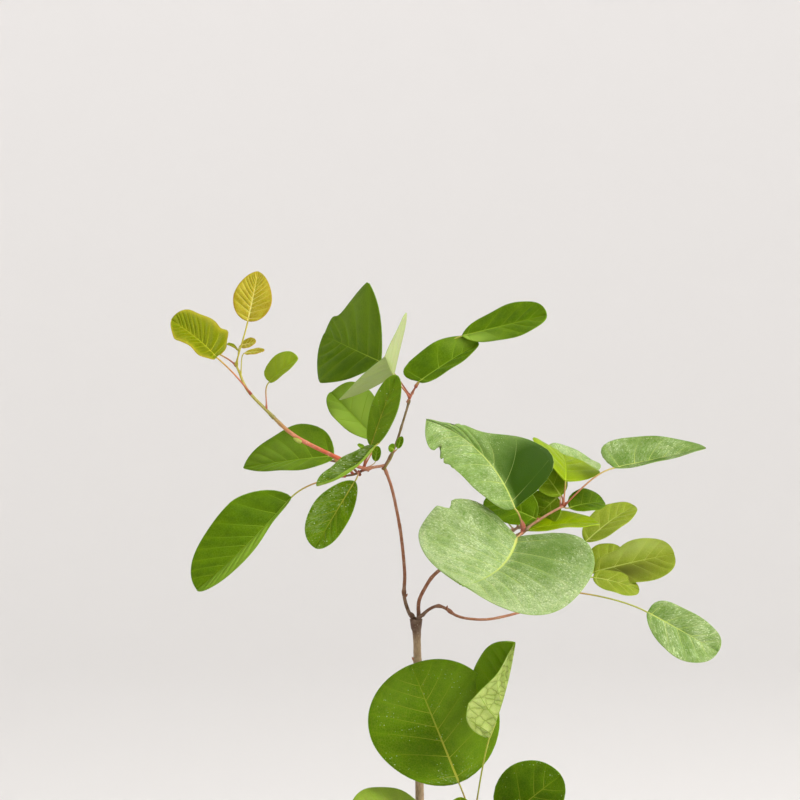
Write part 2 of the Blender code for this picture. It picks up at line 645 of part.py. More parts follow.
def petiole(leaf, group):
    """A leaf's petiole, sunk into the stem at one end and along the midrib at the other."""
    path = list(zip(leaf.petiole(leaf.root), PETIOLE_RADII))
    path += [(leaf.frame(u)[0], radius) for u, radius in zip(MIDRIB_SINK, MIDRIB_RADII)]
    thin = min(1.0, max(LEAST_PETIOLE, leaf.length / FULL_PETIOLE_LENGTH))
    path = [(place, radius * thin) for place, radius in path]
    return tube(leaf.name + "_petiole", path, PETIOLE_RESOLUTION, group)


def keep_largest(mesh):
    """Keeps the largest closed body of a mesh: sealed hollows and loose scraps go."""
    work = bmesh.new()
    work.from_mesh(mesh)
    left = set(work.faces)
    bodies = []
    while left:
        waiting = [left.pop()]
        body = []
        while waiting:
            face = waiting.pop()
            body.append(face)
            beside = {other for edge in face.edges for other in edge.link_faces if other in left}
            left -= beside
            waiting += beside
        bodies.append(body)
    bodies.sort(key=lambda body: sum(face.calc_area() for face in body))
    scraps = [face for body in bodies[:-1] for face in body]
    bmesh.ops.delete(work, geom=scraps, context="FACES")
    work.to_mesh(mesh)
    work.free()


def fuse(name, pieces, group):
    """One solid of overlapping pieces, by one union on a collection of them."""
    joined = new_collection(name + "_pieces")
    for piece in pieces[1:]:
        joined.objects.link(piece)
    union = pieces[0].modifiers.new("union", "BOOLEAN")
    union.operation = "UNION"
    union.operand_type = "COLLECTION"
    union.collection = joined
    union.solver = "MANIFOLD"
    mesh = evaluated_mesh(pieces[0])
    for piece in pieces:
        bpy.data.objects.remove(piece, do_unlink=True)
    bpy.data.collections.remove(joined)
    keep_largest(mesh)
    solid = bpy.data.objects.new(name, mesh)
    group.objects.link(solid)
    return solid


def turned(name, profile, group):
    """A solid of revolution about the pot's axis, from a profile at +X."""
    mesh = bpy.data.meshes.new(name)
    corners = [(x * MM, 0, z * MM) for x, z in profile]
    mesh.from_pydata(corners, [(step, step + 1) for step in range(len(corners) - 1)], [])
    solid = bpy.data.objects.new(name, mesh)
    group.objects.link(solid)
    screw = solid.modifiers.new("turn", "SCREW")
    screw.axis = "Z"
    screw.steps = TURNED_STEPS
    screw.render_steps = TURNED_STEPS
    screw.use_merge_vertices = True
    screw.merge_threshold = WELD
    screw.use_smooth_shade = True
    return solid


def pot_radius(z):
    """The pot's outer radius at a height, without its rim."""
    return POT_FOOT_RADIUS + (POT_TOP_RADIUS - RIM_STEP - POT_FOOT_RADIUS) * z / POT_HEIGHT


def make_pot(group, cutters):
    """The clay pot, with a rim band, a flat foot and drain holes round the middle."""
    under_rim = POT_HEIGHT - RIM_HEIGHT
    mouth = pot_radius(POT_HEIGHT) - WALL
    rim_foot = POT_TOP_RADIUS - RIM_TAPER
    profile = [(0, FLOOR), (pot_radius(FLOOR) - WALL, FLOOR), (mouth, POT_HEIGHT - LIP),
               (mouth + LIP, POT_HEIGHT), (POT_TOP_RADIUS - LIP, POT_HEIGHT),
               (POT_TOP_RADIUS, POT_HEIGHT - LIP),
               (rim_foot, under_rim + LIP), (rim_foot - LIP, under_rim), (pot_radius(under_rim), under_rim),
               (pot_radius(LIP), LIP), (POT_FOOT_RADIUS - LIP, 0), (0, 0)]
    pot = turned("pot", profile, group)
    for index in range(DRAIN_HOLES):
        angle = 2 * math.pi * (index + 0.5) / DRAIN_HOLES
        place = Vector((math.cos(angle), math.sin(angle), 0)) * DRAIN_CIRCLE
        through = Vector((0, 0, FLOOR))
        path = [(place - through, DRAIN_RADIUS), (place + through * 2, DRAIN_RADIUS)]
        hole = tube(f"drain_hole_{index + 1}", path, DRAIN_RESOLUTION, cutters)
        hole.hide_render = True
        cut = pot.modifiers.new("drain", "BOOLEAN")
        cut.operation = "DIFFERENCE"
        cut.object = hole
        cut.solver = "MANIFOLD"
    paint(pot, "clay", 0.85)


def make_soil(group):
    """The potting soil, a filling that is clear of the pot all round."""
    low = FLOOR + GAP
    edge = pot_radius(SOIL_TOP) - WALL - GAP * 2
    profile = [(0, SOIL_TOP), (SOIL_FLAT, SOIL_TOP), (edge - SOIL_SHOULDER, SOIL_TOP - SOIL_DROP / 2),
               (edge, SOIL_TOP - SOIL_DROP), (pot_radius(low) - WALL - GAP * 2, low), (0, low)]
    soil = turned("potting_soil", profile, group)
    paint(soil, "soil", 0.95)
    return soil


def main():
    """Builds the pot, the limbs and the masses of leaves."""
    clear_scene()
    group = new_collection("smoke_bush")
    cutters = new_collection("cutters")
    limbs, masses = plan()
    make_pot(group, cutters)
    make_soil(group)
    for name, path in limbs.items():
        paint(tube(name, path, LIMB_RESOLUTION, group), "bark", 0.75)
    for name, row in masses.items():
        pieces = [tube(f"{name}_{key}", path, TWIG_RESOLUTION, group) for key, path in row["twigs"].items()]
        for leaf in row["leaves"]:
            pieces += [petiole(leaf, group), blade(leaf, group)]
        paint(fuse(name, pieces, group), "gold" if "gold" in name else "leaf", 0.6)


main()
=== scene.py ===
"""The looks of a young smoke bush in a plain clay pot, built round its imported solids.

Every mass of leaves becomes a mesh of fine blades and a mesh of twigs, placed by the same tables and
the same growing rule as the solids. Every limb becomes a mesh with the bark's relief. Lengths in the
tables are millimetres, and meshes are made in metres.
"""

import math
import random

import bmesh
import bpy
import numpy as np
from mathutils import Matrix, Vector, noise
from mathutils.kdtree import KDTree


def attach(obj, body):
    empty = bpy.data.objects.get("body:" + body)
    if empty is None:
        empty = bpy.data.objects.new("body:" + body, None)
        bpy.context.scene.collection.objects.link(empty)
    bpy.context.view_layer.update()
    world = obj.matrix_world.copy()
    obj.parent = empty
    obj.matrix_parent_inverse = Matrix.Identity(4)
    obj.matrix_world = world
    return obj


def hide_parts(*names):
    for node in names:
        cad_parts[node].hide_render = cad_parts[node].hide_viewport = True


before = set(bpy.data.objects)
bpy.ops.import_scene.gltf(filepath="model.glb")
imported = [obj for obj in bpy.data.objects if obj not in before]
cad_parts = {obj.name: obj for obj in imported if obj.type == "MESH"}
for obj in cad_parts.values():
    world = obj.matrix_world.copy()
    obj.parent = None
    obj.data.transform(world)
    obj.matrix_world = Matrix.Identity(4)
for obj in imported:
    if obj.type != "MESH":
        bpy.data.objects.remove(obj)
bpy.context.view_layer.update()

# Sizes of the plant, in millimetres: x to the right, y away from the front, z up from the pot's foot.

POT_HEIGHT = 140.0
POT_TOP_RADIUS = 75.0
POT_FOOT_RADIUS = 52.0
RIM_HEIGHT = 24.0
RIM_STEP = 4.0
WALL = 6.0
FLOOR = 8.0
SOIL_BELOW_RIM = 12.0
SOIL_TOP = POT_HEIGHT - SOIL_BELOW_RIM
GAP = 0.3

# The front view's eye point, level with the middle of the crown.
EYE_DISTANCE = 1200.0
EYE_X = -11.0
EYE_HEIGHT = 418.0

# A plant that turns each new leaf by this angle shades none of the older ones.
GOLDEN_ANGLE = math.radians(137.5)

# How far apart the points of a limb's and a twig's curve lie in the growing rule.
LIMB_CHECKS = 3.0
TWIG_SPACING = 5.0

# How close a leaf that the growing rule adds may come to another leaf or to a limb.
LEAF_CLEARANCE = 3.6

# The waves of a leaf's margin with the right half's start, and a petiole's steps, its arch, where its first
# handle lies, and how far its second one reaches back, as a share of the petiole and at most of the blade.
WAVES = 2.2
WAVE_STEP = 0.3
PETIOLE_STEPS = 4
PETIOLE_ARCH = 0.06
FIRST_HANDLE = 0.35
SECOND_HANDLE = (0.3, 0.25)

# The stations of a leaf's outline in tests of clearance: where they begin, how far they go, and the steps.
CHECKED = (0.04, 0.94)
CHECKED_STEPS = 6

# How a shoot leaves the trunk: its slope, and how far off its second station lies.
SHOOT_SLOPE = 0.35
SHOOT_REACH = 3.0


def seen(x, z, back):
    """The point at the depth back that shows at x, z of the stem's own plane from the front."""
    scale = (EYE_DISTANCE + back) / EYE_DISTANCE
    return Vector((EYE_X + (x - EYE_X) * scale, back, EYE_HEIGHT + (z - EYE_HEIGHT) * scale))


def unseen(point):
    """Where a point shows in the front view: x and z of the stem's own plane, with its depth."""
    scale = EYE_DISTANCE / (EYE_DISTANCE + point.y)
    return EYE_X + (point.x - EYE_X) * scale, point.y, EYE_HEIGHT + (point.z - EYE_HEIGHT) * scale


def both(value):
    """A pair of values for a leaf's left and right half, from one value or from two."""
    return value if isinstance(value, tuple) else (value, value)


class Leaf:
    """One leaf: a petiole from its stem, and a blade that is given by its base, tip and face.

    Halves are the widths of the left and right half of a blade that points up with its face to
    the viewer. Widest and ends shape the outline: where it is widest along the length, and how
    full it is towards base and tip. Margins are swellings and hollows of the outline, each with
    its half, its place along the blade, its size and its spread. Fold lifts each half off the
    midrib, flat is how much of that is gone at the tip, cup curls a half on towards the margin,
    and twist turns the blade about its midrib towards the tip. Bow arches the midrib, swing bends
    it sideways, lobe sweeps a half back past the base, and wave ruffles the margin. At is the
    share of its stem where the petiole starts, and lift raises it there, to clear a limb.
    """

    def __init__(self, name, base, tip, faces, halves, at=0.5, widest=0.5, ends=(2.0, 2.0), margins=(),
                 fold=10.0, flat=0.0, cup=0.0, twist=0.0, bow=0.05, swing=0.0, wave=0.01, lobe=0.0,
                 lift=None, age="old"):
        self.name = name
        self.base = base
        self.tip = tip
        self.length = (tip - base).length
        self.along = (tip - base).normalized()
        face = Vector(faces)
        self.normal = (face - self.along * face.dot(self.along)).normalized()
        self.side = self.along.cross(self.normal)
        self.halves = both(halves)
        self.at = at
        self.widest = both(widest)
        self.ends = ends if isinstance(ends[0], tuple) else (ends, ends)
        self.margins = margins
        self.fold = both(fold)
        self.flat = flat
        self.cup = both(cup)
        self.twist = math.radians(twist)
        self.bow = bow
        self.swing = swing
        self.wave = wave
        self.lobe = both(lobe)
        self.lift = lift
        self.age = age

    def share(self, u, half):
        """The width of one half at u along the blade, as a share of its widest."""
        widest = self.widest[half]
        if u < widest:
            reach, power = (widest - u) / widest, self.ends[half][0]
        else:
            reach, power = (u - widest) / (1 - widest), self.ends[half][1]
        share = max(0.0, 1 - reach ** power) ** (1 / power)
        for side, place, size, spread in self.margins:
            if side == half:
                share *= 1 + size * math.exp(-((u - place) / spread) ** 2)
        return share

    def frame(self, u):
        """The midrib's point at u, with its direction, the way across it and its normal."""
        arc = 4 * u * (1 - u) * self.length
        slope = 4 * (1 - 2 * u)
        middle = self.base + self.along * self.length * u + self.normal * self.bow * arc
        middle += self.side * self.swing * arc
        tangent = (self.along + self.normal * self.bow * slope + self.side * self.swing * slope).normalized()
        upright = (self.normal - tangent * self.normal.dot(tangent)).normalized()
        level = tangent.cross(upright)
        turn = self.twist * u
        across = level * math.cos(turn) + upright * math.sin(turn)
        return middle, tangent, across, upright * math.cos(turn) - level * math.sin(turn)

    def point(self, u, v):
        """The blade's point at u along it and v across it, from -1 at one margin to 1 at the other."""
        middle, tangent, across, normal = self.frame(u)
        half = 0 if v < 0 else 1
        reach = abs(v) * self.halves[half] * self.share(u, half)
        fold = self.fold[half] * (1 - self.flat * u)
        rise = math.radians(fold + self.cup[half] * reach / self.halves[half] / 2)
        outward = across * math.copysign(math.cos(rise), v) + normal * math.sin(rise)
        swept = tangent * self.lobe[half] * reach * (1 - u) ** 2
        ruffle = math.sin(2 * math.pi * (WAVES * u + WAVE_STEP * half))
        return middle + outward * reach - swept + normal * self.wave * self.length * v * v * ruffle

    def petiole(self, root, steps=PETIOLE_STEPS):
        """The petiole's curve from its root in the stem to the blade's base."""
        reach = (self.base - root).length
        rise = reach * PETIOLE_ARCH if self.lift is None else self.lift
        first = root + (self.base - root) * FIRST_HANDLE + Vector((0, 0, rise))
        second = self.base - self.along * min(reach * SECOND_HANDLE[0], self.length * SECOND_HANDLE[1])
        return bezier(root, first, second, self.base, steps)

    def outline(self):
        """Points along both margins and the midrib, for tests of clearance."""
        rows = [CHECKED[0] + CHECKED[1] * step / CHECKED_STEPS for step in range(CHECKED_STEPS + 1)]
        return [self.point(u, v) for u in rows for v in (-1, -0.5, 0.001, 0.5, 1)]


def bezier(start, first, second, end, steps):
    """Points of a cubic curve with two handles."""
    points = []
    for step in range(steps + 1):
        t = step / steps
        s = 1 - t
        points.append(start * s ** 3 + first * 3 * s * s * t + second * 3 * s * t * t + end * t ** 3)
    return points


def smooth_path(stations, spacing):
    """Points with a radius along a smooth curve through stations of x, z, depth and radius."""
    knots = [(seen(x, z, back), radius) for x, z, back, radius in stations]
    knots.insert(0, (knots[0][0] * 2 - knots[1][0], knots[0][1]))
    knots.append((knots[-1][0] * 2 - knots[-2][0], knots[-1][1]))
    path = []
    for before, here, after, beyond in zip(knots, knots[1:], knots[2:], knots[3:]):
        count = max(1, round((after[0] - here[0]).length / spacing))
        for step in range(count):
            t = step / count
            place = 0.5 * (2 * here[0] + (after[0] - before[0]) * t
                           + (2 * before[0] - 5 * here[0] + 4 * after[0] - beyond[0]) * t * t
                           + (3 * here[0] - before[0] - 3 * after[0] + beyond[0]) * t ** 3)
            path.append((place, here[1] + (after[1] - here[1]) * t))
    path.append(knots[-2])
    return path


def along_path(path, share):
    """The point at a share of the path's length."""
    lengths = [(b[0] - a[0]).length for a, b in zip(path, path[1:])]
    left = share * sum(lengths)
    for (a, b), length in zip(zip(path, path[1:]), lengths):
        if left <= length:
            return a[0].lerp(b[0], left / length)
        left -= length
    return path[-1][0].copy()


# Each limb: x, z, depth and radius at the stations that its curve passes, from its foot to its end.
LIMBS = {
    "trunk": (
        (0.0, SOIL_TOP + GAP, 0, 5.6), (0.0, SOIL_TOP + 3, 0, 4.0), (-0.1, SOIL_TOP + 9, 0, 3.0),
        (-0.4, 168, 0, 2.45), (-1.2, 222, 0, 2.15), (-1.9, 268, 0, 2.0), (-2.5, 298, 0, 1.95),
        (-2.9, 304.5, 0, 2.7), (-3.0, 308.5, 0, 3.2)),
    "bough_left": (
        (-4.9, 309.5, 0, 1.35), (-6.6, 312, 0, 1.2), (-8.9, 320, 1, 1.15), (-8.7, 332, 2, 1.1),
        (-10.5, 350.5, 4, 1.05), (-13.2, 365.5, 5, 1.0), (-15.6, 375.5, 5, 1.0), (-18.7, 384, 4, 1.0)),
    "bough_left_fork": ((-20.1, 385, 4, 0.9), (-24, 384.4, 3.4, 0.95), (-27.6, 383.6, 3, 1.15)),
    "bough_right": (
        (-1.6, 309.5, 1.4, 1.3), (-1.6, 317, 1, 1.2), (1.5, 324, -1, 1.15), (6.5, 331, -4, 1.15),
        (16.5, 338, -7, 1.15), (29, 343.5, -9, 1.15), (43.5, 348.6, -10, 1.15)),
    "bough_low_right": (
        (-0.7, 309.8, -1.6, 1.15), (4, 313.6, -1, 1.0), (8.2, 315, 1, 0.95), (12.5, 313.4, 3, 1.05),
        (17, 310.3, 5, 0.9), (24, 308.6, 7, 0.85), (35, 308.6, 9, 0.85), (52, 312.8, 12, 0.85),
        (68, 319, 14, 0.85)),
    "bough_top": (
        (-18.4, 385.2, 4, 0.9), (-15.5, 390.5, 3, 0.85), (-12.5, 397.5, 2, 0.8), (-10, 405.5, 1, 0.75),
        (-7, 415.5, 0, 0.75), (-6.4, 418, 0, 0.85)),
    "bough_gold": (
        (-28.6, 383.7, 1.6, 1.0), (-33.5, 385.3, 0, 1.2), (-42, 389, -3, 1.35), (-58.5, 397, -7, 1.3),
        (-67.5, 403, -10, 1.25), (-75.2, 410.3, -12, 1.15)),
}


def off_trunk(height, heading, radius):
    """The first two stations of a shoot that leaves the trunk at a height towards a heading."""
    trunk = [seen(x, z, back) for x, z, back, thick in LIMBS["trunk"]]
    thick = [station[3] for station in LIMBS["trunk"]]
    step = max(index for index, place in enumerate(trunk) if place.z <= height)
    share = (height - trunk[step].z) / (trunk[step + 1].z - trunk[step].z)
    middle = trunk[step].lerp(trunk[step + 1], share)
    bark = thick[step] + (thick[step + 1] - thick[step]) * share
    out = Vector((math.cos(math.radians(heading)), math.sin(math.radians(heading)), 0))
    start = middle + out * (bark + GAP + radius * math.sin(math.atan(SHOOT_SLOPE)))
    following = start + out * SHOOT_REACH + Vector((0, 0, SHOOT_REACH * SHOOT_SLOPE))
    stations = []
    for place in (start, following):
        x, back, z = unseen(place)
        stations.append((x, z, back, radius))
    return tuple(stations)


LIMBS["bough_foot"] = off_trunk(177, 305, 1.3) + ((12, 191, -9, 1.2), (20, 197, -13, 1.15))

# The masses of leaves. Each has a stem of its own, twigs that fork from that stem, and the leaves
# that show from the front. Rows for the growing rule add more leaves on a named twig: the space
# that they keep to, how many, the first heading, the least and greatest length, and the seed.
MASSES = {}


def mass(name, stem, leaves, twigs=None, grows=()):
    """Enters a mass of leaves in the table."""
    MASSES[name] = {"twigs": {"stem": stem, **(twigs or {})}, "leaves": leaves, "grows": grows}


def shown(name, base, tip, back, faces, halves, **shape):
    """A leaf whose base and tip are where the front view shows them, at two depths."""
    return Leaf(name, seen(*base, back[0]), seen(*tip, back[1]), faces, halves, **shape)


mass("leaves_gold_tip",
     ((-75.7, 410.8, -12.1, 1.1), (-87, 422.6, -14, 0.95), (-91.5, 432.3, -15, 0.75), (-93.3, 436, -16, 0.6)),
     (
         shown("gold_top", (-87.1, 457.3), (-81.8, 482.2), (-16, -13), (0.1, -1, 0.1), 9.7, at=0.98,
               widest=0.44, ends=(2.0, 1.6), fold=8, age="gold"),
         shown("gold_left", (-103, 439.5), (-125.5, 458), (-22, -34), (0.2, -0.75, 0.6), (9.5, 13.7), at=0.45,
               widest=(0.6, 0.4), ends=((2.0, 2.8), (2.4, 2.1)), fold=12, wave=0.03, lobe=(0, 0.5),
               margins=((1, 0.2, 0.3, 0.07), (0, 0.85, 0.2, 0.08)), age="young"),
         shown("gold_behind", (-101.5, 441), (-117, 450), (-4, 14), (0, -0.6, 0.8), 8, at=0.97, age="young"),
         shown("gold_right", (-76.3, 427), (-62, 439.2), (-15, -20), (-0.3, -0.8, 0.5), (8.6, 3.6), at=0.1,
               ends=(2.2, 2.2), lobe=(0.4, 0), age="bright"),
         shown("gold_bud_upper", (-90.5, 445.4), (-83, 447), (-13, -17), (0, -0.8, 0.6), 3.4, at=0.94,
               bow=0, age="gold"),
         shown("gold_bud_lower", (-88.5, 441.5), (-78.8, 442.6), (-18, -25), (0, -0.7, 0.7), 2.6, at=0.8,
               bow=0, age="gold"),
         shown("gold_bud_left", (-92, 442.8), (-97.5, 445.8), (-13, -17), (0, -0.5, 0.8), 2, at=0.97,
               fold=30, age="young"),
     ))

mass("leaves_left",
     ((-28.5, 383.2, 4.3, 0.95), (-30, 382.6, 6.5, 0.9), (-34, 380.8, 7, 0.8), (-38.5, 380, 4, 0.65)),
     (
         shown("left_back", (-43.8, 390), (-89.2, 384), (8, 18), (-0.05, -0.8, 0.65), (8, 20), at=0.6,
               widest=0.37, ends=(2.2, 1.5), fold=12, bow=0.02),
         shown("left_big", (-65.2, 369.5), (-112.5, 323), (-12, -22), (0.1, -0.9, 0.35), (5.5, 20.5), at=0.99,
               widest=(0.6, 0.36), ends=((1.5, 2.3), (1.7, 2.1)), margins=((0, 0.2, -0.6, 0.2),),
               fold=12, swing=-0.03),
         shown("left_hanging", (-33.5, 377.3), (-53.5, 344), (-4, -12), (-0.1, -0.9, 0.3), (8.5, 12), at=0.35,
               widest=0.55, ends=(1.7, 2.1), bow=0.02, age="flecked"),
         shown("left_boat", (-23.5, 395), (-52.8, 375), (-20, -30), (-0.5, -0.2, 0.85), (4.5, 8.5), at=0.15,
               ends=(1.9, 1.8), fold=(28, 55), bow=-0.1, lift=9, age="flecked"),
         shown("left_upright", (-25.5, 395), (-12.5, 430.5), (-14, -34), (-0.1, -1, 0.15), (6.5, 8.2), at=0.1,
               widest=0.57, ends=(1.7, 2.1), fold=(15, 25), lift=9, age="flecked"),
         shown("left_pale", (-24, 399), (-45.5, 421.5), (8, 22), (-0.3, -0.8, 0.5), (8.3, 15), at=0.12,
               widest=0.6, wave=0.03),
         shown("left_small_upper", (-28, 392.8), (-32.3, 395.6), (5, 3), (0, -0.6, 0.8), 2.1, at=0.12,
               lift=3),
         shown("left_small_lower", (-23.3, 387.4), (-22.1, 395), (7, 6), (-0.1, -1, 0.1), 2.4, at=0.05),
     ),
     twigs={"back": ((-32, 381.5, 6.4, 0.8), (-37, 385.5, 16, 0.75), (-48, 388, 27, 0.7),
                     (-60, 388, 38, 0.5))},
     grows=(("back", ((-112, -10), (20, 92), (322, 450)), 5, 60, 24, 38, 7),))

mass("leaves_top",
     ((-6.25, 418.7, 0, 0.8), (-5, 421.2, 0, 0.7), (-3, 425, -1, 0.6)),
     (
         shown("spike", (-14.2, 429.7), (-18.5, 439.5), (-9, -34), (-0.7, 0.5, 0.6), 30, at=0.05,
               ends=(1.3, 1.3), fold=(28, 12), bow=0, age="silvery"),
         shown("top_big", (-20.2, 436.8), (-49, 450.5), (14, 50), (-0.71, -0.67, 0.2), (23, 36), at=0.15,
               widest=(0.66, 0.45), ends=((1.3, 1.5), (1.4, 1.1)),
               margins=((1, 0.82, -0.15, 0.12), (1, 0.93, 0.5, 0.08)), bow=0.03),
         shown("top_middle", (-1.5, 427.1), (28.3, 446.5), (-2, 4), (-0.3, -0.8, 0.5), (13.5, 5.6), at=0.98,
               widest=0.5, ends=(2.6, 1.9), lobe=(0.8, 0), bow=0.02),
         shown("top_right", (20, 450), (62.5, 460.5), (6, -4), (0.1, -0.8, 0.6), (11.5, 10.5), at=0.9,
               widest=(0.65, 0.5), ends=(1.6, 2.2), bow=0),
     ),
     grows=(("stem", ((-55, 60), (10, 80), (395, 480)), 3, 60, 22, 34, 2),))

mass("leaves_top_small",
     ((-17.7, 385.1, 2.4, 0.45), (-15.5, 388.6, 1.2, 0.45), (-13.9, 392.4, -0.4, 0.4)),
     (
         shown("small_round", (-14.2, 393.2), (-16.6, 395), (-2, -4), (0, -1, 0.3), 2.4, at=0.95),
         shown("small_long", (-12.2, 393.8), (-9.9, 399.8), (-1.6, -3), (-0.1, -1, 0.1), 1.8, at=0.95),
     ))

mass("leaves_right",
     ((44, 348.8, -10.1, 1.1), (49.8, 351.4, -10, 1.25), (54, 355, -8, 0.9), (59, 358.3, -5, 0.85),
      (65, 362, -1, 0.8), (71.2, 365.2, 3, 0.8)),
     (
         shown("front_big", (47.4, 349), (20, 325), (-14, -70), (0.18, -0.46, 0.87), (46, 43), at=0.2,
               ends=((2.4, 2.8), (2.6, 2.8)), bow=-0.03, swing=-0.08, fold=(30, 40), flat=1,
               margins=((1, 0.33, -0.1, 0.05),), age="dusted"),
         shown("front_upper", (46.4, 363.7), (2, 408.5), (-18, -30), (0.1, -0.8, 0.5), (19, 31),
               at=0.22, widest=(0.62, 0.16), ends=((2.3, 3.4), (2.8, 1.1)),
               margins=((1, 0.62, -0.5, 0.25), (1, 0.92, -0.75, 0.15), (0, 0.86, -0.16, 0.05)),
               swing=0.12, bow=0.02, lobe=(0, -0.25), age="dusted"),
         shown("tent", (71.7, 377.1), (70.5, 390.5), (2, 32), (0.43, -0.34, 0.81), (23, 18), at=0.98,
               ends=(1.4, 1.3), fold=15, age="bright"),
         shown("behind_tent", (69, 381), (84.4, 388), (24, 46), (0.2, -0.4, 0.8), (18, 12), at=0.99,
               age="dusted"),
         shown("far_right", (96, 384), (142, 393.8), (0, 4), (-0.05, -0.75, 0.65), (16, 2.5), at=0.99,
               widest=(0.3, 0.4), ends=(2.2, 1.35), lobe=(0.75, 0), bow=0, age="dusted"),
         shown("dark_oval", (73.5, 364), (91, 367), (14, 26), (-0.2, -0.8, 0.5), (9, 6), at=0.97,
               widest=0.55),
         shown("inner_up", (69.5, 370), (57, 386), (8, 18), (0, -0.8, 0.5), 9, at=0.96, age="fresh"),
         shown("inner_pale", (68, 369.5), (56, 358), (8, 12), (0, -0.8, 0.5), 10, at=0.93, age="fresh"),
         shown("under_left", (57, 358.5), (31.5, 368), (2, 12), (0, -0.8, 0.5), (10, 13), at=0.5),
         shown("flat_bright", (52, 352.5), (88.3, 356), (-2, 6), (0, -0.25, 0.95), 14, at=0.25,
               age="bright"),
     ),
     twigs={"back": ((52, 353.5, -9, 0.9), (48, 354, 6, 0.85), (44, 352, 22, 0.8), (38, 353, 40, 0.6))},
     grows=(("back", ((-2, 100), (14, 98), (312, 410)), 6, 40, 24, 40, 8),))

mass("leaves_low_right",
     ((68.4, 319.2, 14.1, 0.8), (75, 323, 15, 0.75), (79, 326, 17, 0.65)),
     (
         shown("blurred", (82, 347), (106, 365), (44, 66), (-0.3, -0.8, 0.5), (10, 8.5), at=0.95,
               age="olive"),
         shown("low_wide", (86, 332), (126, 341), (30, 34), (0, -0.85, 0.5), (11.5, 13.5), at=0.9,
               widest=0.6, ends=(1.9, 2.3), margins=((0, 0.3, -0.16, 0.12),), bow=0.03, age="olive"),
         shown("low_behind", (83, 332), (100, 343.5), (46, 60), (-0.2, -0.85, 0.5), 9, at=0.85, age="olive"),
         shown("low_narrow", (85.5, 329.3), (108.5, 322.8), (20, 22), (0.1, -0.6, 0.8), (7, 11), at=0.95,
               ends=(2.4, 2.0), age="olive"),
         shown("low_end", (112.6, 311.9), (148, 292), (10, 6), (0.3, -0.9, 0.3), (11, 15.5), at=0.45,
               widest=(0.5, 0.54), ends=((3.2, 2.8), (1.6, 2.0)), bow=0.02, age="dusted"),
     ))

mass("leaves_middle_back",
     off_trunk(247, 75, 1.2) + ((1, 252, 12, 1.15), (4, 258, 26, 1.0), (9, 262, 42, 0.7)),
     (),
     grows=(("stem", ((-20, 44), (10, 85), (228, 296)), 5, 20, 30, 42, 3),))

mass("leaves_foot_right",
     ((20.5, 197.5, -13.4, 1.1), (24, 202, -16, 1.0), (26, 206, -17, 0.85)),
     (
         shown("round", (18.5, 226.5), (-5.5, 285.7), (-24, -20), (0, -1, 0.2), (32, 32), at=0.97,
               widest=(0.56, 0.5), ends=((1.75, 2.1), (1.95, 2.1)), fold=4, bow=0.02, age="flecked"),
         shown("folded", (33.5, 248.5), (46.7, 297), (-34, -30), (-1, -0.1, 0.2), (20.5, 25), at=0.9,
               widest=(0.62, 0.28), ends=((1.9, 2.4), (2.6, 0.9)), fold=(48, 48), bow=-0.03,
               age="creased"),
         shown("foot_dark", (40.5, 207), (69.5, 230.5), (-20, -26), (0, -0.9, 0.4), (18.5, 15.5),
               at=0.8, age="flecked"),
         shown("foot_tip", (19, 209), (19.3, 219.5), (-30, -36), (0, -0.8, 0.4), 6, at=0.7, age="fresh"),
     ),
     twigs={"out": ((22, 199.5, -14.5, 0.9), (34, 197, -22, 0.8), (48, 190, -30, 0.6))},
     grows=(("out", ((8, 95), (-80, 6), (146, 212)), 5, 300, 32, 44, 8),))

mass("leaves_foot_left",
     off_trunk(184, 200, 1.2) + ((-9, 190, -4, 1.0), (-20, 196, -8, 0.7)),
     (
         shown("foot_left", (7, 199.5), (-36, 210), (-17, -33), (0.1, -0.6, 0.85), (12, 21), at=0.5,
               ends=(2.2, 2.2), age="fresh"),
     ),
     grows=(("stem", ((-90, 0), (-75, 40), (142, 208)), 6, 150, 32, 46, 3),))

mass("leaves_foot_back",
     off_trunk(164, 80, 1.2) + ((2, 170, 10, 1.2), (8, 177, 22, 1.0), (14, 180, 36, 0.7)),
     (),
     grows=(("stem", ((-50, 80), (4, 95), (140, 212)), 7, 60, 32, 48, 4),))


# The growing rule: how often it tries, where on a twig, and a petiole's and a blade's slope.
TRIES = 4000
FIRST_STATION = 0.15
PETIOLE_REACH = (8.0, 17.0)
PETIOLE_RISE = (0.1, 0.8)
BLADE_DROOP = (-0.8, 0.5)
HEADING_SPREAD = 0.5
HALF_SHARE = (0.34, 0.41)

# The steps of a leaf's outline as it shows from the front.
OUTLINE_STEPS = 8

# The masses whose grown leaves stay where the front leaves hide them.
HIDDEN_MASSES = ("leaves_left", "leaves_top", "leaves_right", "leaves_middle_back")


def within(point, space):
    """Whether a point shows inside a space of ranges for x, depth and z."""
    return all(low <= value <= high for value, (low, high) in zip(unseen(point), space))


def front_outline(leaf):
    """A leaf's outline as it shows from the front."""
    rows = [step / OUTLINE_STEPS for step in range(OUTLINE_STEPS + 1)]
    corners = [leaf.point(u, -1) for u in rows] + [leaf.point(u, 1) for u in reversed(rows)]
    return [unseen(corner)[::2] for corner in corners]


def inside(x, z, outline):
    """Whether x, z lies inside an outline."""
    odd = False
    for (x1, z1), (x2, z2) in zip(outline, outline[1:] + outline[:1]):
        if (z1 > z) != (z2 > z) and x < x1 + (z - z1) * (x2 - x1) / (z2 - z1):
            odd = not odd
    return odd


def hidden(leaf, screens):
    """Whether the front leaves' outlines hide a leaf."""
    shown_at = [unseen(point)[::2] for point in leaf.outline()]
    return all(any(inside(x, z, outline) for outline in screens) for x, z in shown_at)


def near_tree(points):
    """A search tree of points."""
    tree = KDTree(len(points))
    for index, point in enumerate(points):
        tree.insert(point, index)
    tree.balance()
    return tree


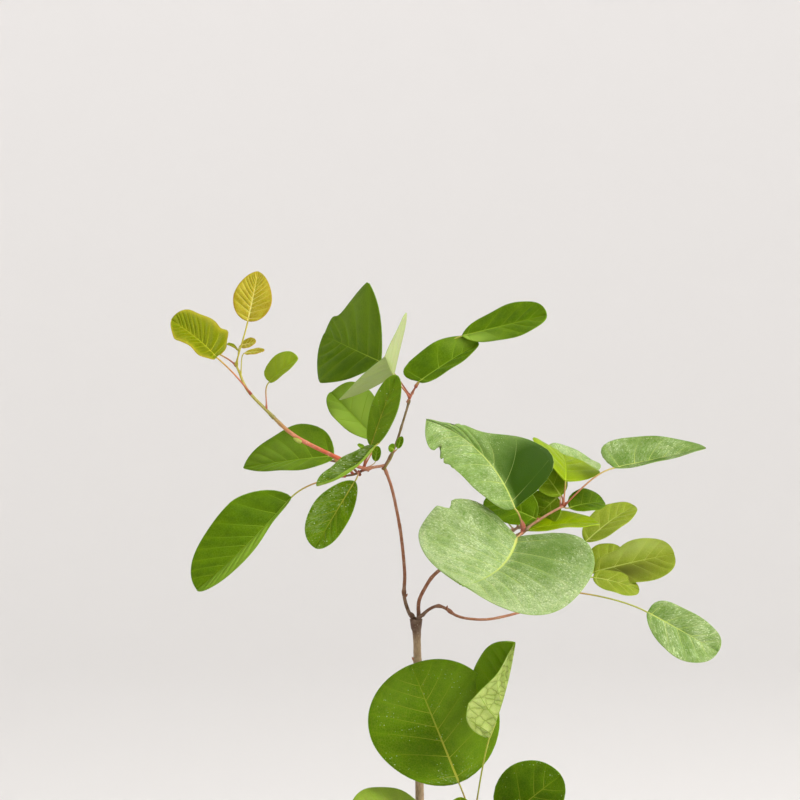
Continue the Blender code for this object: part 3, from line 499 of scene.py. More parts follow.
def grown_leaf(name, root, heading, shortest, longest, chance):
    """One leaf that leaves the root towards the heading, with its size and slopes by chance."""
    rise = chance.uniform(*PETIOLE_RISE)
    out = Vector((math.cos(heading), math.sin(heading), rise)).normalized()
    base = root + out * chance.uniform(*PETIOLE_REACH)
    turned = heading + chance.uniform(-HEADING_SPREAD, HEADING_SPREAD)
    along = Vector((math.cos(turned), math.sin(turned), chance.uniform(*BLADE_DROOP))).normalized()
    length = chance.uniform(shortest, longest)
    faces = Vector((math.cos(turned) * 0.4, math.sin(turned) * 0.4, 0.9))
    half = length * chance.uniform(*HALF_SHARE)
    leaf = Leaf(name, base, base + along * length, faces, half, widest=chance.uniform(0.46, 0.56),
                ends=(2.1, 2.0), fold=chance.uniform(4, 16), bow=chance.uniform(0.0, 0.08))
    leaf.root = root
    return leaf


def grow(name, row, path, taken, screens, chance):
    """The leaves that the rule adds to one twig, clear of the taken points and behind the screens."""
    space, count, heading, shortest, longest = row
    added = []
    tree = near_tree(taken)
    for step in range(TRIES):
        if len(added) == count:
            break
        at = FIRST_STATION + (1 - FIRST_STATION) * ((step * 0.37 + 0.6) % 1)
        turn = math.radians(heading) + step * GOLDEN_ANGLE
        leaf = grown_leaf(f"{name}_{len(added) + 1}", along_path(path, at), turn, shortest, longest, chance)
        if not all(within(point, space) for point in leaf.outline()):
            continue
        if screens and not hidden(leaf, screens):
            continue
        points = leaf.outline() + leaf.petiole(leaf.root)[3:]
        if any(tree.find(point)[2] < LEAF_CLEARANCE for point in points):
            continue
        added.append(leaf)
        taken.extend(points)
        tree = near_tree(taken)
    return added


def plan():
    """Every mass's twigs and leaves, with their roots found."""
    masses = {}
    taken = [place for row in LIMBS.values() for place, radius in smooth_path(row, LIMB_CHECKS)]
    for name, row in MASSES.items():
        twigs = {key: smooth_path(stations, TWIG_SPACING) for key, stations in row["twigs"].items()}
        for leaf in row["leaves"]:
            leaf.root = along_path(twigs["stem"], leaf.at)
            taken.extend(leaf.outline())
            taken.extend(leaf.petiole(leaf.root)[1:])
        masses[name] = {"twigs": twigs, "leaves": list(row["leaves"])}
    screens = [front_outline(leaf) for row in MASSES.values() for leaf in row["leaves"]]
    for name, row in MASSES.items():
        for twig, space, count, heading, shortest, longest, seed in row["grows"]:
            path = masses[name]["twigs"][twig]
            others = [masses[key]["twigs"].values() for key in MASSES if key != name]
            crowd = taken + [place for twigs in others for spots in twigs for place, radius in spots]
            row = (space, count, heading, shortest, longest)
            behind = screens if name in HIDDEN_MASSES else ()
            added = grow(f"{name}_{twig}", row, path, crowd, behind, random.Random(seed))
            masses[name]["leaves"] += added
            for leaf in added:
                taken.extend(leaf.outline())
                taken.extend(leaf.petiole(leaf.root)[3:])
    return masses


# Millimetres in metres, the body that every piece rides on, and what the names of leaf masses begin with.
MM = 0.001
BODY = "root"
PREFIX = "leaves_"


def put(name, data):
    """A new object in the scene."""
    made = bpy.data.objects.new(name, data)
    bpy.context.scene.collection.objects.link(made)
    return made


# Meshes from arrays.

class Sheet:
    """Corners, faces, colours and a flat layout, gathered for one joined mesh."""

    def __init__(self, cells):
        self.corners = []
        self.faces = []
        self.slots = []
        self.layout = []
        self.values = {}
        self.count = 0
        self.columns = max(1, math.ceil(math.sqrt(cells)))
        self.rows = max(1, math.ceil(cells / self.columns))
        self.cell = 0

    def next_cell(self):
        """The lower corner and size of the next free cell of the flat layout."""
        column, row = self.cell % self.columns, self.cell // self.columns
        self.cell += 1
        return column / self.columns, row / self.rows, 1 / self.columns, 1 / self.rows

    def add(self, corners, faces, slots, layout, **values):
        """Adds corners in millimetres, faces by index, and a slot for each face and place for each loop."""
        self.faces += [tuple(index + self.count for index in face) for face in faces]
        self.corners.append(np.asarray(corners) * MM)
        self.count += len(corners)
        self.slots += list(slots)
        self.layout += list(layout)
        for key, value in values.items():
            self.values.setdefault(key, []).append(np.asarray(value))

    def mesh(self, name, materials):
        """The joined object, with its flat layout and its values as attributes."""
        data = bpy.data.meshes.new(name)
        data.from_pydata(np.concatenate(self.corners).tolist(), [], self.faces)
        data.polygons.foreach_set("material_index", self.slots)
        data.polygons.foreach_set("use_smooth", [True] * len(data.polygons))
        flat = data.uv_layers.new(name="OFBake")
        flat.data.foreach_set("uv", np.asarray(self.layout, dtype=np.float32).ravel())
        for key, parts in self.values.items():
            stacked = np.concatenate(parts).astype(np.float32)
            kind = "FLOAT" if stacked.ndim == 1 else "FLOAT_VECTOR"
            attribute = data.attributes.new(key, kind, "POINT")
            attribute.data.foreach_set("value" if kind == "FLOAT" else "vector", stacked.ravel())
        for material in materials:
            data.materials.append(material)
        data.update()
        return put(name, data)


# Materials.

def linear(red, green, blue):
    """A colour of the photograph's own scale, 0 to 255, as the shader's linear one."""
    return tuple(((part / 255 + 0.055) / 1.055) ** 2.4 if part > 10 else part / 255 / 12.92
                 for part in (red, green, blue))


class Nodes:
    """A new material, with short ways to add nodes to it."""

    def __init__(self, name, roughness, **inputs):
        self.material = bpy.data.materials.new(name)
        self.material.use_nodes = True
        self.tree = self.material.node_tree
        self.shader = self.tree.nodes["Principled BSDF"]
        self.shader.inputs["Roughness"].default_value = roughness
        for key, value in inputs.items():
            self.shader.inputs[key.replace("_", " ")].default_value = value

    def add(self, kind, links=None, **settings):
        """A node with its settings, and links from other sockets to its inputs."""
        node = self.tree.nodes.new(kind)
        for key, value in settings.items():
            if hasattr(node, key):
                setattr(node, key, value)
            else:
                node.inputs[key.replace("_", " ")].default_value = value
        for key, socket in (links or {}).items():
            self.tree.links.new(socket, node.inputs[key])
        return node

    def attribute(self, name):
        """A mesh attribute's sockets: as a vector, a value and a colour."""
        node = self.add("ShaderNodeAttribute", attribute_name=name)
        return node.outputs["Vector"], node.outputs["Fac"], node.outputs["Color"]

    def object_place(self):
        """The place on the object, in metres."""
        return self.add("ShaderNodeTexCoord").outputs["Object"]

    def height(self, place):
        """The height of a place."""
        return self.add("ShaderNodeSeparateXYZ", {"Vector": place}).outputs["Z"]

    def noise(self, vector, scale, detail, roughness=0.55):
        """A noise texture's value."""
        return self.add("ShaderNodeTexNoise", {"Vector": vector}, Scale=scale, Detail=detail,
                        Roughness=roughness).outputs["Fac"]

    def ramp(self, value, *stops):
        """A ramp of grey from stops of a place and a value."""
        node = self.add("ShaderNodeValToRGB", {"Fac": value})
        elements = node.color_ramp.elements
        while len(elements) < len(stops):
            elements.new(0.5)
        for element, (place, grey) in zip(elements, stops):
            element.position = place
            element.color = (grey, grey, grey, 1)
        return node.outputs["Color"]

    def cells(self, vector, scale, **settings):
        """A cell texture."""
        return self.add("ShaderNodeTexVoronoi", {"Vector": vector}, Scale=scale, **settings)

    def stretched(self, vector, scale):
        """A vector with its parts scaled."""
        return self.add("ShaderNodeMapping", {"Vector": vector}, Scale=scale).outputs["Vector"]

    def feed(self, node, place, part):
        """Gives a node's input a socket, a number or a colour."""
        if isinstance(part, bpy.types.NodeSocket):
            self.tree.links.new(part, node.inputs[place])
        else:
            node.inputs[place].default_value = (*part, 1) if isinstance(part, tuple) else part

    def mix(self, factor, first, second):
        """A mix of two colours, each a socket or a value, by a socket or a number."""
        node = self.add("ShaderNodeMix", data_type="RGBA", clamp_factor=True)
        for place, part in ((0, factor), (6, first), (7, second)):
            self.feed(node, place, part)
        return node.outputs[2]

    def maths(self, operation, first, second):
        """The result of an operation on two values."""
        node = self.add("ShaderNodeMath", operation=operation)
        self.feed(node, 0, first)
        self.feed(node, 1, second)
        return node.outputs[0]

    def plus(self, first, second):
        """The sum of two values."""
        return self.maths("ADD", first, second)

    def minus(self, first, second):
        """The difference of two values."""
        return self.maths("SUBTRACT", first, second)

    def times(self, first, second):
        """The product of two values."""
        return self.maths("MULTIPLY", first, second)

    def coloured(self, socket):
        """The finished material, with its base colour from a socket."""
        self.tree.links.new(socket, self.shader.inputs["Base Color"])
        return self.material

    def bump(self, height, distance, strength):
        """Adds relief from a height, with its depth in metres."""
        node = self.add("ShaderNodeBump", {"Height": height}, Distance=distance, Strength=strength)
        self.tree.links.new(node.outputs["Normal"], self.shader.inputs["Normal"])


# Each look of a leaf on the photograph's scale of 0 to 255, its tones in this order: its blade along and
# between the veins, its veins, margin and underside, and its dark and pale patches, which on some leaves
# are painted shade and painted light.
TONES = ("deep", "light", "vein", "rim", "under", "dark", "pale")
LOOKS = {
    "old": ((70, 100, 0), (96, 128, 2), (140, 168, 50), (140, 168, 60), (146, 168, 84), (48, 76, 0),
            (142, 172, 62)),
    "flecked": ((72, 106, 0), (98, 134, 2), (168, 170, 60), (146, 172, 74), (152, 172, 92), (50, 78, 0),
                (134, 168, 44)),
    "fresh": ((96, 124, 6), (122, 148, 20), (164, 184, 70), (158, 180, 60), (150, 172, 60), (70, 98, 4),
              (160, 182, 80)),
    # The bright look is partly the leaves' own yellow-green and partly painted glow of light through them.
    "bright": ((112, 136, 0), (132, 154, 0), (156, 180, 34), (166, 188, 50), (138, 160, 26), (96, 124, 4),
               (178, 196, 80)),
    "olive": ((110, 126, 20), (136, 150, 40), (178, 188, 96), (164, 178, 70), (160, 172, 84), (88, 92, 30),
              (170, 182, 100)),
    "young": ((98, 108, 0), (120, 130, 0), (172, 174, 44), (196, 164, 40), (160, 160, 40), (100, 110, 0),
              (186, 170, 50)),
    "gold": ((152, 136, 10), (184, 172, 52), (222, 212, 124), (198, 130, 86), (190, 170, 66), (150, 128, 8),
             (206, 190, 80)),
    "dusted": ((92, 126, 48), (122, 150, 78), (188, 200, 108), (160, 178, 110), (150, 172, 100), (46, 76, 0),
               (146, 168, 100)),
    # The creased look's vein tone, darker than its underside, is painted shade in the creases.
    "creased": ((92, 130, 0), (106, 138, 6), (134, 152, 62), (150, 172, 80), (164, 180, 102), (56, 86, 0),
                (170, 184, 120)),
    "silvery": ((112, 136, 60), (136, 156, 84), (166, 178, 116), (170, 182, 120), (142, 158, 92),
                (90, 112, 50), (178, 186, 136)),
}

# How much white residue and painted sheen lies on the blades of a look, and the colours of its haze and
# dots and of the painted shade in the creases, with the stretch of the creases' cells. The haze is partly
# white residue and partly painted sheen.
CHALK_AND_SHEEN_SHARES = {"flecked": 0.16, "dusted": 0.5}
CHALK_AND_SHEEN = (190, 202, 158)
DOT = (204, 218, 168)
CREASE_SHADE = (118, 134, 52)
CREASE_DRAW = (0.55, 1.15, 1.0)

# The light that a blade scatters: its share, its reach in red, green and blue, and its depth in metres.
SCATTER = 0.5
SCATTER_RADIUS = (0.5, 1.0, 0.15)
SCATTER_DEPTH = 0.0006


def crease_lines(nodes, place):
    """The net of creases on the underside of the folded leaf, for their relief and their painted shade."""
    wander = nodes.add("ShaderNodeTexNoise", {"Vector": place}, Scale=0.35, Detail=3.0)
    moved = nodes.add("ShaderNodeVectorMath", {0: place, 1: wander.outputs["Color"]}, operation="ADD")
    drawn = nodes.stretched(moved.outputs["Vector"], CREASE_DRAW)
    cells = nodes.cells(drawn, 0.21, feature="DISTANCE_TO_EDGE")
    return nodes.ramp(cells.outputs["Distance"], (0.0, 0.85), (0.05, 0.35), (0.25, 0.0))


def chalked_and_sheened(nodes, tone, place, chalk_and_sheen):
    """A blade's tone under residue and painted sheen: a haze in streaks, scratches, and dots where it crowds.
    """
    more = nodes.minus(nodes.attribute("dust")[1], 1.0)
    flow = nodes.attribute("flow")[0]
    broad = nodes.noise(place, 0.08, 2.0)
    cover = nodes.plus(nodes.times(broad, 0.35), nodes.noise(flow, 1.3, 5.0, 0.75))
    cover = nodes.plus(cover, nodes.times(more, 0.3))
    low = 0.92 - 0.48 * chalk_and_sheen
    # The pale haze is partly white residue and partly painted sheen.
    haze = nodes.ramp(cover, (low - 0.1, 0.0), (low + 0.1, 0.3), (low + 0.24, 0.6))
    tone = nodes.mix(haze, tone, linear(*CHALK_AND_SHEEN))
    scratch = nodes.plus(nodes.noise(flow, 1.7, 4.0, 0.7), nodes.times(broad, 0.3))
    scratch = nodes.plus(scratch, nodes.times(more, 0.08))
    scratches = nodes.ramp(scratch, (0.98 - 0.5 * chalk_and_sheen, 0.0), (1.06 - 0.5 * chalk_and_sheen, 0.75))
    tone = nodes.mix(scratches, tone, linear(*DOT))
    cells = nodes.cells(place, 0.62)
    chosen = nodes.ramp(cells.outputs["Color"], (0.45, 0.0), (0.55, 1.0))
    dots = nodes.times(nodes.ramp(cells.outputs["Distance"], (0.12, 1.0), (0.22, 0.0)), chosen)
    crowded = nodes.plus(broad, nodes.times(more, 0.3))
    dots = nodes.times(dots, nodes.ramp(crowded, (0.42, 0.0), (0.62, 0.9)))
    return nodes.mix(dots, tone, linear(*DOT))


def leaf_material(look, part):
    """The material of one part of a leaf: its blade, vein, margin or underside."""
    tones = {tone: linear(*colour) for tone, colour in zip(TONES, LOOKS[look])}
    chalk_and_sheen = CHALK_AND_SHEEN_SHARES.get(look, 0.0)
    nodes = Nodes(f"{look}_{part}", roughness=0.4 if part == "blade" else 0.55, Subsurface_Weight=SCATTER,
                  Subsurface_Radius=SCATTER_RADIUS, Subsurface_Scale=SCATTER_DEPTH, Specular_IOR_Level=0.06)
    place = nodes.attribute("place")[0]
    shade = nodes.attribute("shade")[1]
    patch = nodes.attribute("patch")[1]
    if part == "rim":
        return nodes.coloured(nodes.mix(nodes.noise(place, 0.4, 2.0), tones["rim"], tones["light"]))
    if part == "vein":
        tone = nodes.mix(shade, tones["vein"], tones["light"])
        # Veins darken under the dark patches too, which on some leaves are painted shade.
        return nodes.coloured(nodes.mix(nodes.times(patch, -0.6), tone, tones["dark"]))
    net = nodes.cells(place, 0.8, feature="DISTANCE_TO_EDGE")
    net_lines = nodes.ramp(net.outputs["Distance"], (0.0, 1.0), (0.1, 0.0))
    height = nodes.minus(nodes.times(nodes.noise(place, 2.2, 4.0), 0.4), net_lines)
    if part == "blade":
        mottle = nodes.ramp(nodes.noise(place, 0.16, 4.0, 0.6), (0.36, 0.0), (0.66, 0.7))
        tone = nodes.mix(shade, tones["deep"], tones["light"])
        tone = nodes.mix(mottle, tone, tones["light"])
        tone = nodes.mix(nodes.times(net_lines, 0.2), tone, tones["vein"])
        tone = nodes.mix(nodes.times(patch, -1.0), tone, tones["dark"])
        tone = nodes.mix(patch, tone, tones["pale"])
        if chalk_and_sheen:
            tone = chalked_and_sheened(nodes, tone, place, chalk_and_sheen)
    else:
        tone = nodes.mix(nodes.times(net_lines, 0.35), tones["under"], tones["vein"])
        tone = nodes.mix(patch, tone, tones["pale"])
        if look == "creased":
            creases = crease_lines(nodes, place)
            # Painted shade: the underside darkens along the creases.
            tone = nodes.mix(creases, tone, linear(*CREASE_SHADE))
            height = nodes.minus(height, nodes.times(creases, 9.0))
    nodes.bump(height, 0.00006, 0.6)
    return nodes.coloured(tone)


# Blades: their thickness, how the lateral veins sweep forward, how far those of the left half are shifted
# and each is moved by chance, where they start and how they crowd towards the tip, and the widths of the
# veins near the midrib and near the margin.
BLADE_THICK = 0.34
VEIN_SWEEP = 1.3
VEIN_POWER = 1.15
LEFT_SHIFT = 0.022
VEIN_JITTER = 0.12
FIRST_VEIN = 0.055
VEIN_SPAN = 0.87
VEIN_CROWDING = 0.92
MIDRIB_WIDTHS = (0.85, 0.16)
LATERAL_WIDTHS = (0.34, 0.08)
MARGIN_WIDTH = 0.2

# The least half width that a blade's grid is laid out for, the most that the midrib takes of it, and the
# least that the margin leaves of it.
LEAST_HALF = 0.5
MIDRIB_MOST = 0.3
MARGIN_LEAST = 0.6

# How far the blade swells between its veins, how far across the swelling sets in, how deep it dips and how
# high it stands out along them, and how far across the half they reach.
QUILT = 0.010
SWELL_START = 0.18
VEIN_DIP = 0.10
VEIN_RISE = 0.16
VEIN_END = 0.93

# A blade's rows between two veins and its columns in each half, in a fine grid and in a plain one.
FINE_GRID = (5, 11)
PLAIN_GRID = (3, 6)

# How far apart the textures of two leaves and of two tubes lie, and the free edges in their flat layouts.
LEAF_APART = 37.0
TUBE_APART = 50.0
BLADE_EDGE = 0.04
TUBE_EDGE = 0.03

# The parts of a blade, each with a material of its own.
PARTS = ("blade", "vein", "rim", "under")

# The bites in a leaf's margins: the half, where along it, how deep and how wide, as shares of the blade.
BITES = {
    "front_upper": ((0, 0.845, 0.36, 0.02), (0, 0.78, 0.13, 0.012), (0, 0.70, 0.07, 0.02),
                    (0, 0.63, 0.05, 0.012), (1, 0.80, 0.3, 0.02), (1, 0.74, 0.12, 0.012)),
    "front_big": ((1, 0.37, 0.08, 0.02), (1, 0.28, 0.05, 0.012)),
}


def overall(amount):
    """One spot over both halves of a leaf."""
    return ((2, 0.5, 0.5, 0.9, 0.9, amount),)


# Spots on single leaves, each by the half (0 left, 1 right, 2 both), the place along and across the half,
# the spread along and across, and the amount: pale above nought and dark below it. Some are painted light
# and shade, as noted at each.
PATCHES = {
    # front_upper's dark spot at its right half's base is painted shade.
    "front_upper": ((1, 0.1, 0.6, 0.27, 0.7, -1.6),),
    # front_big's dark spots, strongest at its base, are painted shade.
    "front_big": ((0, 0.2, 0.45, 0.4, 0.6, -0.12), (1, 0.06, 0.7, 0.12, 0.4, -0.5),
                  (1, 0.3, 0.5, 0.2, 0.3, -0.2)),
    "far_right": ((1, 0.5, 0.5, 0.5, 0.6, -0.5),),
    "low_wide": ((1, 0.35, 0.4, 0.4, 0.5, -0.9), (0, 0.6, 0.7, 0.4, 0.4, 0.5)),
    "left_boat": ((0, 0.5, 0.5, 0.7, 0.8, 1.0), (1, 0.5, 0.5, 0.7, 0.8, -0.4)),
    "left_big": ((0, 0.6, 0.5, 0.5, 0.8, 0.6), (1, 0.3, 0.6, 0.4, 0.5, -0.3)),
    "left_pale": ((2, 0.4, 0.5, 0.5, 0.9, 1.0),),
    "spike": ((0, 0.5, 0.5, 0.9, 0.9, 0.8), (1, 0.3, 0.4, 0.5, 0.6, 0.2)),
    "left_back": ((2, 0.6, 0.4, 0.4, 0.5, 0.35),),
    # top_big's pale spot on its right half and dark one on its left half are painted light and shade.
    "top_big": ((1, 0.5, 0.6, 0.5, 0.5, 0.2), (0, 0.3, 0.5, 0.3, 0.5, -0.4)),
    "top_middle": ((0, 0.8, 0.6, 0.3, 0.5, 0.3), (0, 0.2, 0.5, 0.3, 0.6, -0.4),
                   (1, 0.5, 0.5, 0.5, 0.9, -0.3)),
    # top_right's pale spot is partly its paler underside and partly painted glow of light through the leaf.
    "top_right": ((1, 0.1, 0.7, 0.22, 0.5, 1.3), (0, 0.7, 0.5, 0.4, 0.5, -0.2)),
    "behind_tent": overall(0.4),
    "gold_left": ((2, 0.55, 1.0, 0.9, 0.18, 0.55),),
    "gold_top": ((2, 0.5, 1.0, 0.9, 0.15, -0.5),),
    # round's low left dark spot is painted shadow; its pale spot near the left tip is painted light.
    "round": ((1, 0.45, 0.6, 0.5, 0.6, 0.4), (0, 0.85, 0.5, 0.2, 0.5, 0.3), (0, 0.3, 0.3, 0.2, 0.4, -0.3)),
    "left_upright": overall(0.25),
    "foot_dark": overall(-0.4),
    "foot_left": overall(0.5),
    "gold_right": overall(0.3),
}

# How much more or less white residue and painted sheen than usual lies on single leaves, on the whole and
# in spots, and the scale that draws its streaks out along the lateral veins. Some spots are painted light
# and shade, as noted at each.
DUST_AND_SHEEN = {"front_big": 1.3, "front_upper": 0.88, "left_upright": 0.7, "far_right": 0.8}
DUST_AND_PAINTED_LIGHT_SPOTS = {
    # Less haze at front_upper's right half's base keeps its painted shade dark.
    "front_upper": ((1, 0.1, 0.6, 0.3, 0.8, -2.2),),
    # front_big has less haze where its painted shade lies.
    "front_big": ((0, 0.25, 0.5, 0.4, 0.6, -0.8), (1, 0.1, 0.6, 0.2, 0.4, -0.45),
                  (0, 0.6, 0.85, 0.4, 0.3, 0.4)),
    "left_boat": ((2, 0.4, 0.5, 0.5, 0.9, 0.5),),
    "left_hanging": ((1, 0.5, 0.6, 0.5, 0.6, 0.5), (0, 0.5, 0.5, 0.4, 0.5, 0.1)),
    # More dots at round's base are painted glints of water drops.
    "round": ((2, 0.05, 0.3, 0.12, 0.5, 0.3), (2, 0.5, 0.5, 0.6, 0.9, -0.22)),
    "foot_dark": ((2, 0.6, 0.5, 0.4, 0.6, -0.3),),
}
STREAK = 0.45


def blade_rows(leaf, between, chance):
    """For each row: its station, its side of a vein or 0, and its share of the way between two veins."""
    spread = leaf.veins
    feet = []
    for k in range(spread):
        share = (k + (chance.uniform(-VEIN_JITTER, VEIN_JITTER) if k else 0)) / spread
        feet.append(FIRST_VEIN + VEIN_SPAN * share ** VEIN_CROWDING)
    feet.append(1.0)
    rows = [(0.0, 0, 0.5)]
    for step in range(1, between):
        station = feet[0] * (1 - math.cos(math.pi * step / (2 * between)))
        rows.append((station, 0, station / feet[0] * 0.5 + 0.5))
    for foot, following in zip(feet, feet[1:]):
        rows += [(foot, -1, 0.0), (foot, 1, 0.0)]
        last = following == 1.0
        for step in range(1, between + 1):
            share = step / (between + 1)
            if last:
                share = math.sin(share * math.pi / 2)
            rows.append((foot + (following - foot) * share, 0, share * (0.5 if last else 1)))
    rows.append((1.0, 0, 0.5))
    return rows


def blade_arrays(leaf, fine, chance):
    """The stations, shares across and phases of a blade's grid, with what is vein and margin."""
    between, inner = FINE_GRID if fine else PLAIN_GRID
    s, edge, phase = (np.array(column) for column in zip(*blade_rows(leaf, between, chance)))
    broad = np.array([max(LEAST_HALF, *(leaf.halves[half] * leaf.share(min(max(row, 0.02), 0.98), half)
                                        for half in (0, 1))) for row in s])
    rib = leaf.rib * (MIDRIB_WIDTHS[0] + (MIDRIB_WIDTHS[1] - MIDRIB_WIDTHS[0]) * s)
    rib = np.clip(rib / 2 / broad, 0, MIDRIB_MOST)
    rim = np.clip(1 - MARGIN_WIDTH / broad, MARGIN_LEAST, 1)
    half = [np.zeros(len(s)), rib]
    half += [rib + (rim - rib) * step / inner for step in range(1, inner)]
    half += [rim, np.ones(len(s))]
    t = np.stack([-part for part in reversed(half[1:])] + half, axis=1)
    reach = np.abs(t)
    width = (LATERAL_WIDTHS[0] + (LATERAL_WIDTHS[1] - LATERAL_WIDTHS[0]) * reach) / 2 / leaf.length
    station = s[:, None] + edge[:, None] * width
    station = station + np.where(t < 0, LEFT_SHIFT, 0) * np.sin(np.pi * station)
    u = 1 - np.clip(1 - station, 0, 1) ** (1 + VEIN_SWEEP * reach ** VEIN_POWER)
    return u, t, edge, phase, station


def steady(vectors):
    """Unit vectors, where one that has no length takes its neighbour's in the grid."""
    size = np.linalg.norm(vectors, axis=-1, keepdims=True)
    vectors = vectors / np.maximum(size, 1e-12)
    vectors[0], vectors[-1] = vectors[1], vectors[-2]
    return vectors


def bitten(leaf, u, t):
    """Draws in the margins of a leaf that an insect has bitten."""
    for half, place, depth, wide in BITES.get(leaf.name, ()):
        gap = depth * np.exp(-((u - place) / wide) ** 2)
        t = np.where((t < 0) == (half == 0), np.clip(t, gap - 1, 1 - gap), t)
    return t


def closed_grid(rows, columns):
    """The corner that each place of a blade's grid has above and below: its ends and margins are shared."""
    top = np.zeros((rows, columns), dtype=int)
    bottom = np.zeros((rows, columns), dtype=int)
    inner = (rows - 2) * (columns - 2)
    top[1:-1, 1:-1] = 2 + np.arange(inner).reshape(rows - 2, columns - 2)
    bottom[1:-1, 1:-1] = top[1:-1, 1:-1] + inner
    margin = 2 + 2 * inner + np.arange(2 * (rows - 2)).reshape(rows - 2, 2)
    top[1:-1, 0] = bottom[1:-1, 0] = margin[:, 0]
    top[1:-1, -1] = bottom[1:-1, -1] = margin[:, 1]
    top[-1] = bottom[-1] = 1
    return top, bottom


def gathered(above, below, rim):
    """Grids of values on the upper side, the lower side and the margin, in the order of the corners."""
    above, below, rim = (part.reshape(*part.shape[:2], -1) for part in (above, below, rim))
    size = rim.shape[-1]
    return np.concatenate([rim[0, :1], rim[-1, :1], above[1:-1, 1:-1].reshape(-1, size),
                           below[1:-1, 1:-1].reshape(-1, size), rim[1:-1, [0, -1]].reshape(-1, size)])


def blade_faces(sheet, grids, u, t, edge, slots):
    """A blade's faces, with the slot of each and the flat place of each loop."""
    rows, columns = u.shape
    middle = columns // 2
    span = 1 - 2 * BLADE_EDGE
    vein_rows = [edge[i] == -1 and edge[i + 1] == 1 for i in range(rows - 1)]
    faces, materials, layout = [], [], []
    for side, index in zip(("blade", "under"), grids):
        left, low, wide, high = sheet.next_cell()
        for i in range(rows - 1):
            for j in range(columns - 1):
                ring = [(i, j), (i, j + 1), (i + 1, j + 1), (i + 1, j)]
                if side == "under":
                    ring.reverse()
                kept = []
                for a, b in ring:
                    if index[a, b] not in [index[c, d] for c, d in kept]:
                        kept.append((a, b))
                if len(kept) < 3:
                    continue
                faces.append([int(index[a, b]) for a, b in kept])
                if j in (0, columns - 2):
                    materials.append(slots["rim"])
                elif j in (middle - 1, middle) or (vein_rows[i] and 2 <= j <= columns - 4):
                    materials.append(slots["vein"])
                else:
                    materials.append(slots[side])
                layout += [(left + wide * (BLADE_EDGE + span * (t[a, b] + 1) / 2),
                            low + high * (BLADE_EDGE + span * u[a, b])) for a, b in kept]
    return faces, materials, layout


def add_blade(sheet, leaf, number, slots, fine):
    """Adds one closed blade with its veins to a sheet."""
    chance = random.Random(number)
    u, t, edge, phase, station = blade_arrays(leaf, fine, chance)
    shape = np.array([[tuple(leaf.point(a, b)) for a, b in zip(*row)] for row in zip(u, bitten(leaf, u, t))])
    reach = np.abs(t)

    # The blade swells between the veins and dips along them.
    facing = steady(np.cross(np.gradient(shape, axis=1), np.gradient(shape, axis=0)))
    swell = np.sin(np.pi * phase)[:, None] ** 0.8 * np.clip(reach / SWELL_START, 0, 1) * (1 - reach ** 3)
    swell = swell * QUILT * leaf.length * leaf.quilt
    on_vein = (edge != 0)[:, None] & (reach < VEIN_END)
    on_rib = reach <= reach[:, u.shape[1] // 2 + 1][:, None] + 1e-9
    vein = (on_vein | on_rib).astype(float)
    fade = np.where(on_rib, 1.0, 1 - reach)
    thick = BLADE_THICK * min(1.0, 0.5 + leaf.length / 60)
    upper = shape + facing * (thick / 2 + swell - VEIN_DIP * vein * fade)[..., None]
    lower = shape + facing * (-thick / 2 + swell - VEIN_RISE * vein * fade)[..., None]
    rim = shape + facing * swell[..., None]
    rim[0], rim[-1] = shape[0], shape[-1]

    # What the materials read.
    across = t * np.where(t < 0, leaf.halves[0], leaf.halves[1])
    apart = np.full_like(u, number * LEAF_APART)
    near_vein = 1 - np.sin(np.pi * phase)[:, None]
    on_veins = np.where(on_rib, u ** 1.5 * 0.9, 0.25 + 0.75 * reach)
    values = {
        "place": np.stack([across, u * leaf.length, apart], axis=-1),
        "shade": np.where(vein > 0, on_veins, 0.15 + 0.85 * near_vein ** 2),
        "dust": DUST_AND_SHEEN.get(leaf.name, 1.0) + spotted(leaf.name, DUST_AND_PAINTED_LIGHT_SPOTS, u, t),
        "flow": np.stack([across * STREAK, station * leaf.length, apart], axis=-1),
        "patch": spotted(leaf.name, PATCHES, u, t),
    }
    laid = {key: gathered(value, value, value) for key, value in values.items()}
    laid = {key: part[:, 0] if values[key].ndim == 2 else part for key, part in laid.items()}
    faces, materials, layout = blade_faces(sheet, closed_grid(*u.shape), u, t, edge, slots)
    sheet.add(gathered(upper, lower, rim), faces, materials, layout, **laid)


def spotted(name, table, u, t):
    """The sum of a leaf's spots in a table, over its grid."""
    total = np.zeros_like(u)
    for half, along, across, long, wide, amount in table.get(name, ()):
        side = {0: -t, 1: t}.get(half, np.abs(t))
        near = np.exp(-((u - along) / long) ** 2 - ((side - across) / wide) ** 2)
        total = total + amount * near * np.clip(side * 12 + (0.5 if half == 2 else 0), 0, 1)
    return total


# Tubes: limbs, twigs and petioles, with the fineness of their skin's relief along and round them.

GRAIN_ALONG = 0.6
GRAIN_ROUND = 1.3


def ring_frames(points):
    """Two directions across the path at each of its points, that turn as little as they can."""
    tangents = np.gradient(points, axis=0)
    tangents /= np.linalg.norm(tangents, axis=1, keepdims=True)
    across = np.cross(tangents[0], (0.0, 1.0, 0.0))
    if np.linalg.norm(across) < 0.1:
        across = np.cross(tangents[0], (1.0, 0.0, 0.0))
    firsts = []
    for tangent in tangents:
        across = across - tangent * across.dot(tangent)
        across /= np.linalg.norm(across)
        firsts.append(across)
    firsts = np.array(firsts)
    return firsts, np.cross(tangents, firsts)


def lengths_along(points):
    """The length of a path up to each of its points."""
    return np.concatenate([[0], np.cumsum(np.linalg.norm(np.diff(points, axis=0), axis=1))])


